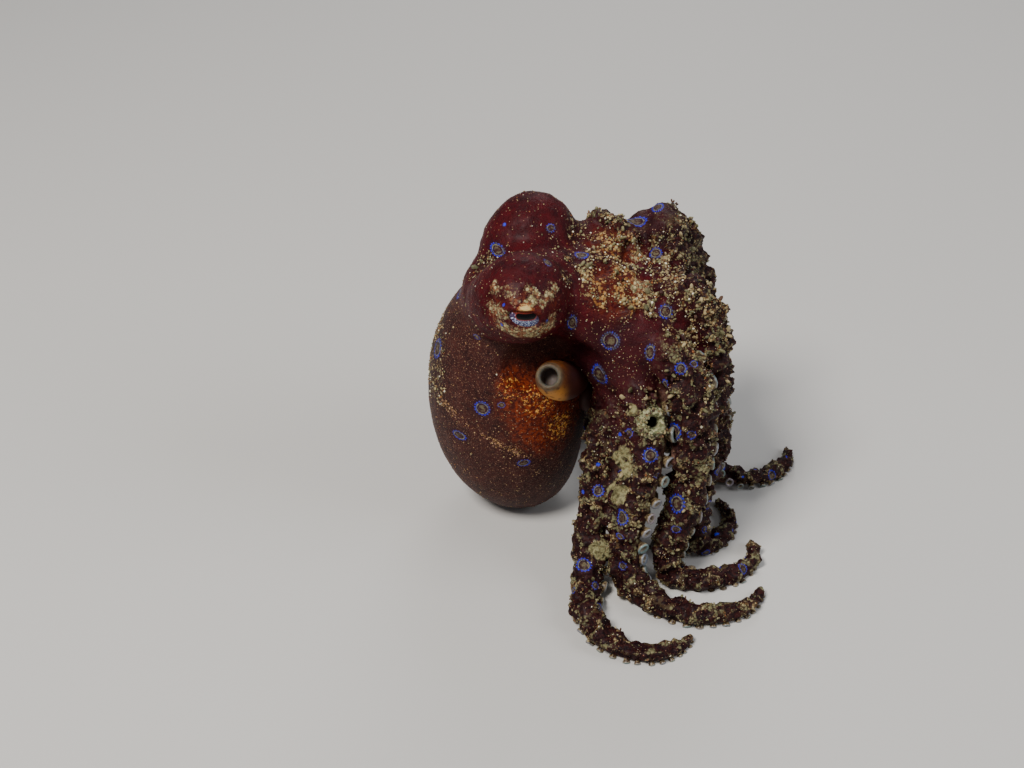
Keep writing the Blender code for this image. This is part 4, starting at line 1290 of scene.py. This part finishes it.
# The mouth. At the middle of the crown, between the arms, a fleshy ring of lip is puckered round a
# small dark beak.
mouth_middle = CROWN_CENTRE + MOUTHWARD * (CROWN_RADIUS - 0.9)
LIP_PROFILE = [(3.3, -1.6), (3.2, -0.4), (2.9, 0.5), (2.35, 1.0)]
LIP_PROFILE += [(1.85, 1.05), (1.4, 0.6), (1.15, -0.2), (1.0, -1.2)]
LIP_FOLDS, LIP_FOLD_DEPTH = 14, 0.22
lip_shape = bmesh.new()
sections = []
for radius, out in LIP_PROFILE:
    sections.append((mouth_middle + MOUTHWARD * out, CROWN_TOP, CROWN_RIGHT, radius))
sweep(lip_shape, sections, sides=48)
for vert in lip_shape.verts:
    rel = vert.co - mouth_middle
    turn = math.atan2(rel.dot(CROWN_TOP), rel.dot(CROWN_RIGHT))
    across = rel - MOUTHWARD * rel.dot(MOUTHWARD)
    if rel.dot(MOUTHWARD) > -1.0 and across.length > 0.1:
        vert.co += across.normalized() * LIP_FOLD_DEPTH * math.cos(turn * LIP_FOLDS)
bmesh.ops.recalc_face_normals(lip_shape, faces=lip_shape.faces)
finish, shader, _ = wet_finish("lip_skin", 0.35)
shader.inputs["Base Color"].default_value = colour(98, 62, 54)
lips = collect("mouth_lips", lip_shape, finish)

beak_shape = bmesh.new()
for side, reach in ((1.0, 1.25), (-1.0, 0.95)):
    sections = []
    for i in range(7):
        share = i / 6
        centre = mouth_middle + MOUTHWARD * (share * reach - 0.9)
        centre += CROWN_TOP * side * 0.42 * (1.0 - share**2)
        radius = 0.62 * (1.0 - share) ** 0.6 + 0.03
        sections.append((centre, CROWN_TOP, CROWN_RIGHT, radius * 0.6, radius * 0.6, radius))
    sweep(beak_shape, sections, sides=10)
bmesh.ops.recalc_face_normals(beak_shape, faces=beak_shape.faces)
finish, shader, _ = wet_finish("beak_horn", 0.2)
shader.inputs["Base Color"].default_value = colour(34, 20, 14)
collect("beak", beak_shape, finish)

# The grit. Fine sand-coloured grains stand all over the hide: thick as a crust on the crown and the
# arms, thin on the dark cheek, and smallest on the sac. Taller, paler warts and frills stand among
# them on the arms. Each grain's patch of the map lies where it is rooted, so that it carries the
# marking it grows on.
corner_places = places[corners]
corner_normals = normals[corners]
first_corner, second_corner, third_corner = (corner_places[:, i] for i in range(3))
spread = np.cross(second_corner - first_corner, third_corner - first_corner)
areas = np.linalg.norm(spread, axis=1) / 2
open_hide = np.ones(len(places))
for side in EYE_BUMPS:
    open_hide *= soft((lid_ring(places, side)[0] - 1.25) / 0.4)
open_hide *= soft((places[:, 2] - 0.5) / 0.8)
open_hide *= soft((ball_reach(places, POCKET_CENTRE, POCKET_RADII) - 1.0) / 0.08)
open_hide *= soft((crater_ring - 1.3) / 0.5)
clear_of_rings = soft((ring_reach - 1.0) / 0.35)


def sown(density, seed):
    """Roots strewn over the hide, so many to the square millimetre as density says at each point of
    it: where each stands, the way out of the hide there, its spot on the map, and the point of the
    hide whose markings it takes."""
    chance = np.random.default_rng(seed)
    wanted = chance.poisson(np.maximum(density, 0.0)[corners].mean(axis=1) * areas)
    chosen = np.repeat(np.arange(len(corners)), wanted)
    shares = chance.dirichlet((1.0, 1.0, 1.0), len(chosen))[:, :, None]
    roots = (corner_places[chosen] * shares).sum(axis=1)
    ways = (corner_normals[chosen] * shares).sum(axis=1)
    return roots, ways, (corner_map[chosen] * shares).sum(axis=1), corners[chosen, 0], chance


def picked(palette, tones, chance):
    """Each grain's colour, by its place in the palette, made a little lighter or darker."""
    tints = np.array([colour(*tone)[:3] for tone in palette])[tones]
    return tints * chance.uniform(0.7, 1.25, (len(tints), 1))


def grown(name, shape, finish, crop, sizes, palette, likely):
    """One coat of the hide on the roots of a crop, each piece of it turned and coloured by chance."""
    roots, ways, map_spots, chance = crop
    tones = chance.choice(len(palette), len(roots), p=likely)
    spins = chance.uniform(0.0, math.tau, len(roots))
    tints = picked(palette, tones, chance)
    return strewn(name, shape, finish, roots, ways, spins, sizes, tints, map_spots)


def grain_shape():
    shape = bmesh.new()
    bmesh.ops.create_icosphere(shape, subdivisions=1, radius=1.0)
    return shape


grit_finish, shader, thread = wet_finish("grit", 0.5, coat=0.12, coat_roughness=0.2)
shader.inputs["Specular IOR Level"].default_value = 0.3
mark(thread, "tint", output="Color").feed(shader)

GRIT_LIMIT = 9500  # grains to one piece
SAND = [(170, 152, 108), (132, 104, 66), (118, 114, 80)]
SAND += [(76, 46, 28), (226, 218, 192), (136, 80, 40)]
SAC_SAND = [(134, 98, 76), (160, 122, 78), (108, 70, 54), (190, 156, 110)]

crusted_hide = open_hide * clear_of_rings
clumps = soft((rippled(places + 70.0, 1.7, 3) + 0.12) / 0.36)
near_eye = marks["pale"] * marks["bump"]
thick = 17.0 * marks["crust"] ** 1.25 * clumps * (1.0 - 0.3 * marks["arm"])
density = crusted_hide * (thick + 0.4 + 1.2 * marks["calm"] + 9.0 * near_eye**1.5 * clumps)
# Grit is kept thin on the painted highlight over each eye, and on the raised arm.
thinned_on_highlight_and_raised = (1.0 - 0.8 * marks["gleam"]) * (1.0 - 0.7 * marks["raised"])
density *= thinned_on_highlight_and_raised * (1.0 - 0.7 * marks["olive"])
density *= 1.0 - 0.75 * soft(marks["oral"] * marks["arm"] * 1.6)
density *= 1.0 - 0.8 * marks["mantle"] * (1.0 - marks["crust"])
roots, ways, map_spots, here, chance = sown(density, 5)
width = 0.07 + 0.13 * chance.random(len(roots)) ** 2.2 * (0.5 + marks["crust"][here])
coarse = np.where(chance.random(len(roots)) < 0.05, 1.6, 1.0)
width *= coarse * (1.0 - 0.4 * soft(near_eye[here] * 2.0))
width *= 1.0 - 0.15 * marks["calm"][here]
width *= 1.0 - 0.5 * marks["share"][here] * marks["arm"][here]
length, height = chance.uniform(0.8, 1.5, len(roots)), chance.uniform(0.7, 1.3, len(roots))
sizes = np.stack([width * length, width, width * height], 1)
tone = chance.choice(len(SAND), len(roots), p=(0.26, 0.22, 0.21, 0.16, 0.09, 0.06))
# Grit on the arms is darkened, a painted shade.
tints = picked(SAND, tone, chance) * (1.0 - 0.12 * marks["arm"][here])[:, None]
for start in range(0, len(roots), GRIT_LIMIT):
    name = f"grit_{start // GRIT_LIMIT + 1}"
    cut = slice(start, start + GRIT_LIMIT)
    spins = chance.uniform(0.0, math.tau, len(roots[cut]))
    laid = (roots[cut], ways[cut], spins, sizes[cut], tints[cut], map_spots[cut])
    grit = strewn(name, grain_shape(), grit_finish, *laid)

sandy = 0.9 + 9.0 * marks["line"] + 1.5 * marks["gold"]
density = open_hide * marks["mantle"] * sandy * clear_of_rings
roots, ways, map_spots, here, chance = sown(density, 6)
width = 0.06 + 0.07 * chance.random(len(roots)) ** 2 + 0.08 * marks["line"][here]
sizes = np.stack([width * chance.uniform(0.8, 1.4, len(roots)), width, width * 0.7], 1)
crop = (roots, ways, map_spots, chance)
likely = (0.4, 0.25, 0.25, 0.1)
sac_grit = grown("sac_grit", grain_shape(), grit_finish, crop, sizes, SAC_SAND, likely)

WART_PROFILE = [
    (0.0, -0.4, 0.75),
    (0.0, 0.25, 0.6),
    (0.12, 0.8, 0.7, 0.55, 0.62),
    (0.2, 1.2, 0.45, 0.4, 0.42),
    (0.22, 1.38, 0.12),
]
wart_shape = bmesh.new()
sections = [(Vector((lean, 0.0, z)), X_AXIS, Y_AXIS, *reach) for lean, z, *reach in WART_PROFILE]
sweep(wart_shape, sections, sides=7)
WART_TONES = [(126, 118, 84), (100, 96, 66), (160, 144, 106), (86, 58, 40), (60, 30, 26)]
warty = 0.30 * marks["arm"] * (0.4 + marks["crust"]) + 0.4 * marks["crust"] ** 2
density = open_hide * clear_of_rings * warty
density *= (1.0 - 0.8 * marks["raised"]) * (1.0 - 0.7 * patch(places, RAISED_SIDE, 2.5, 3.0))
density *= 1.0 - soft(marks["oral"] * marks["arm"] * 2.0 + 0.2)
density *= 1.0 - marks["mantle"]
roots, ways, map_spots, here, chance = sown(density, 7)
taper = 1.0 - 0.55 * marks["share"][here] * marks["arm"][here]
width = (0.22 + 0.34 * chance.random(len(roots)) ** 1.6) * taper
spans = ((0.9, 1.6), (0.6, 1.0), (0.7, 1.5))
sizes = np.stack([width * chance.uniform(*span, len(roots)) for span in spans], 1)
crop = (roots, ways + chance.normal(0.0, 0.18, ways.shape), map_spots, chance)
likely = (0.26, 0.26, 0.18, 0.15, 0.15)
warts = grown("warts", wart_shape, grit_finish, crop, sizes, WART_TONES, likely)

# The frills. Small soft clusters of lobes, like torn lichen, stand along both edges of every arm
# and round the crater.
frill_shape = bmesh.new()
for lobe, radius in (((0.0, 0.0, 0.1), 0.6), ((0.5, 0.2, 0.6), 0.42), ((-0.3, -0.35, 0.75), 0.45)):
    place = Matrix.Translation(lobe)
    bmesh.ops.create_icosphere(frill_shape, subdivisions=1, radius=radius, matrix=place)
FRILL_TONES = [(126, 120, 84), (98, 94, 62), (168, 154, 114), (84, 56, 38), (120, 84, 50)]
edge = marks["arm"] * (0.15 + hump(marks["oral"], -0.05, 0.3)) * (1.0 - soft(marks["oral"] * 3.0))
tufts = soft((rippled(places + 120.0, 2.2, 1) + 0.25) / 0.4)
density = 0.7 * edge * (1.0 - marks["mantle"]) * tufts
density = open_hide * clear_of_rings * (1.0 - 0.8 * marks["raised"]) * (density + 1.6 * crater_rim)
roots, ways, map_spots, here, chance = sown(density, 8)
taper = 1.0 - 0.6 * marks["share"][here] * marks["arm"][here]
size = (0.25 + 0.4 * chance.random(len(roots)) ** 1.5) * taper
sizes = np.stack([size * chance.uniform(0.7, 1.2, len(roots)) for _ in range(3)], 1)
crop = (roots, ways + chance.normal(0.0, 0.25, ways.shape), map_spots, chance)
likely = (0.28, 0.22, 0.2, 0.15, 0.15)
frill_finish, shader, thread = wet_finish("frill_skin", 0.5, coat=0.1, coat_roughness=0.2)
soak_light(shader, 0.3, (1.0, 0.7, 0.4), 0.0006)
own_tint = mark(thread, "tint", output="Color")
mark(thread, "height").rise(-0.2, 0.7).tint((60, 30, 24), own_tint).feed(shader)
frills = grown("frills", frill_shape, frill_finish, crop, sizes, FRILL_TONES, likely)
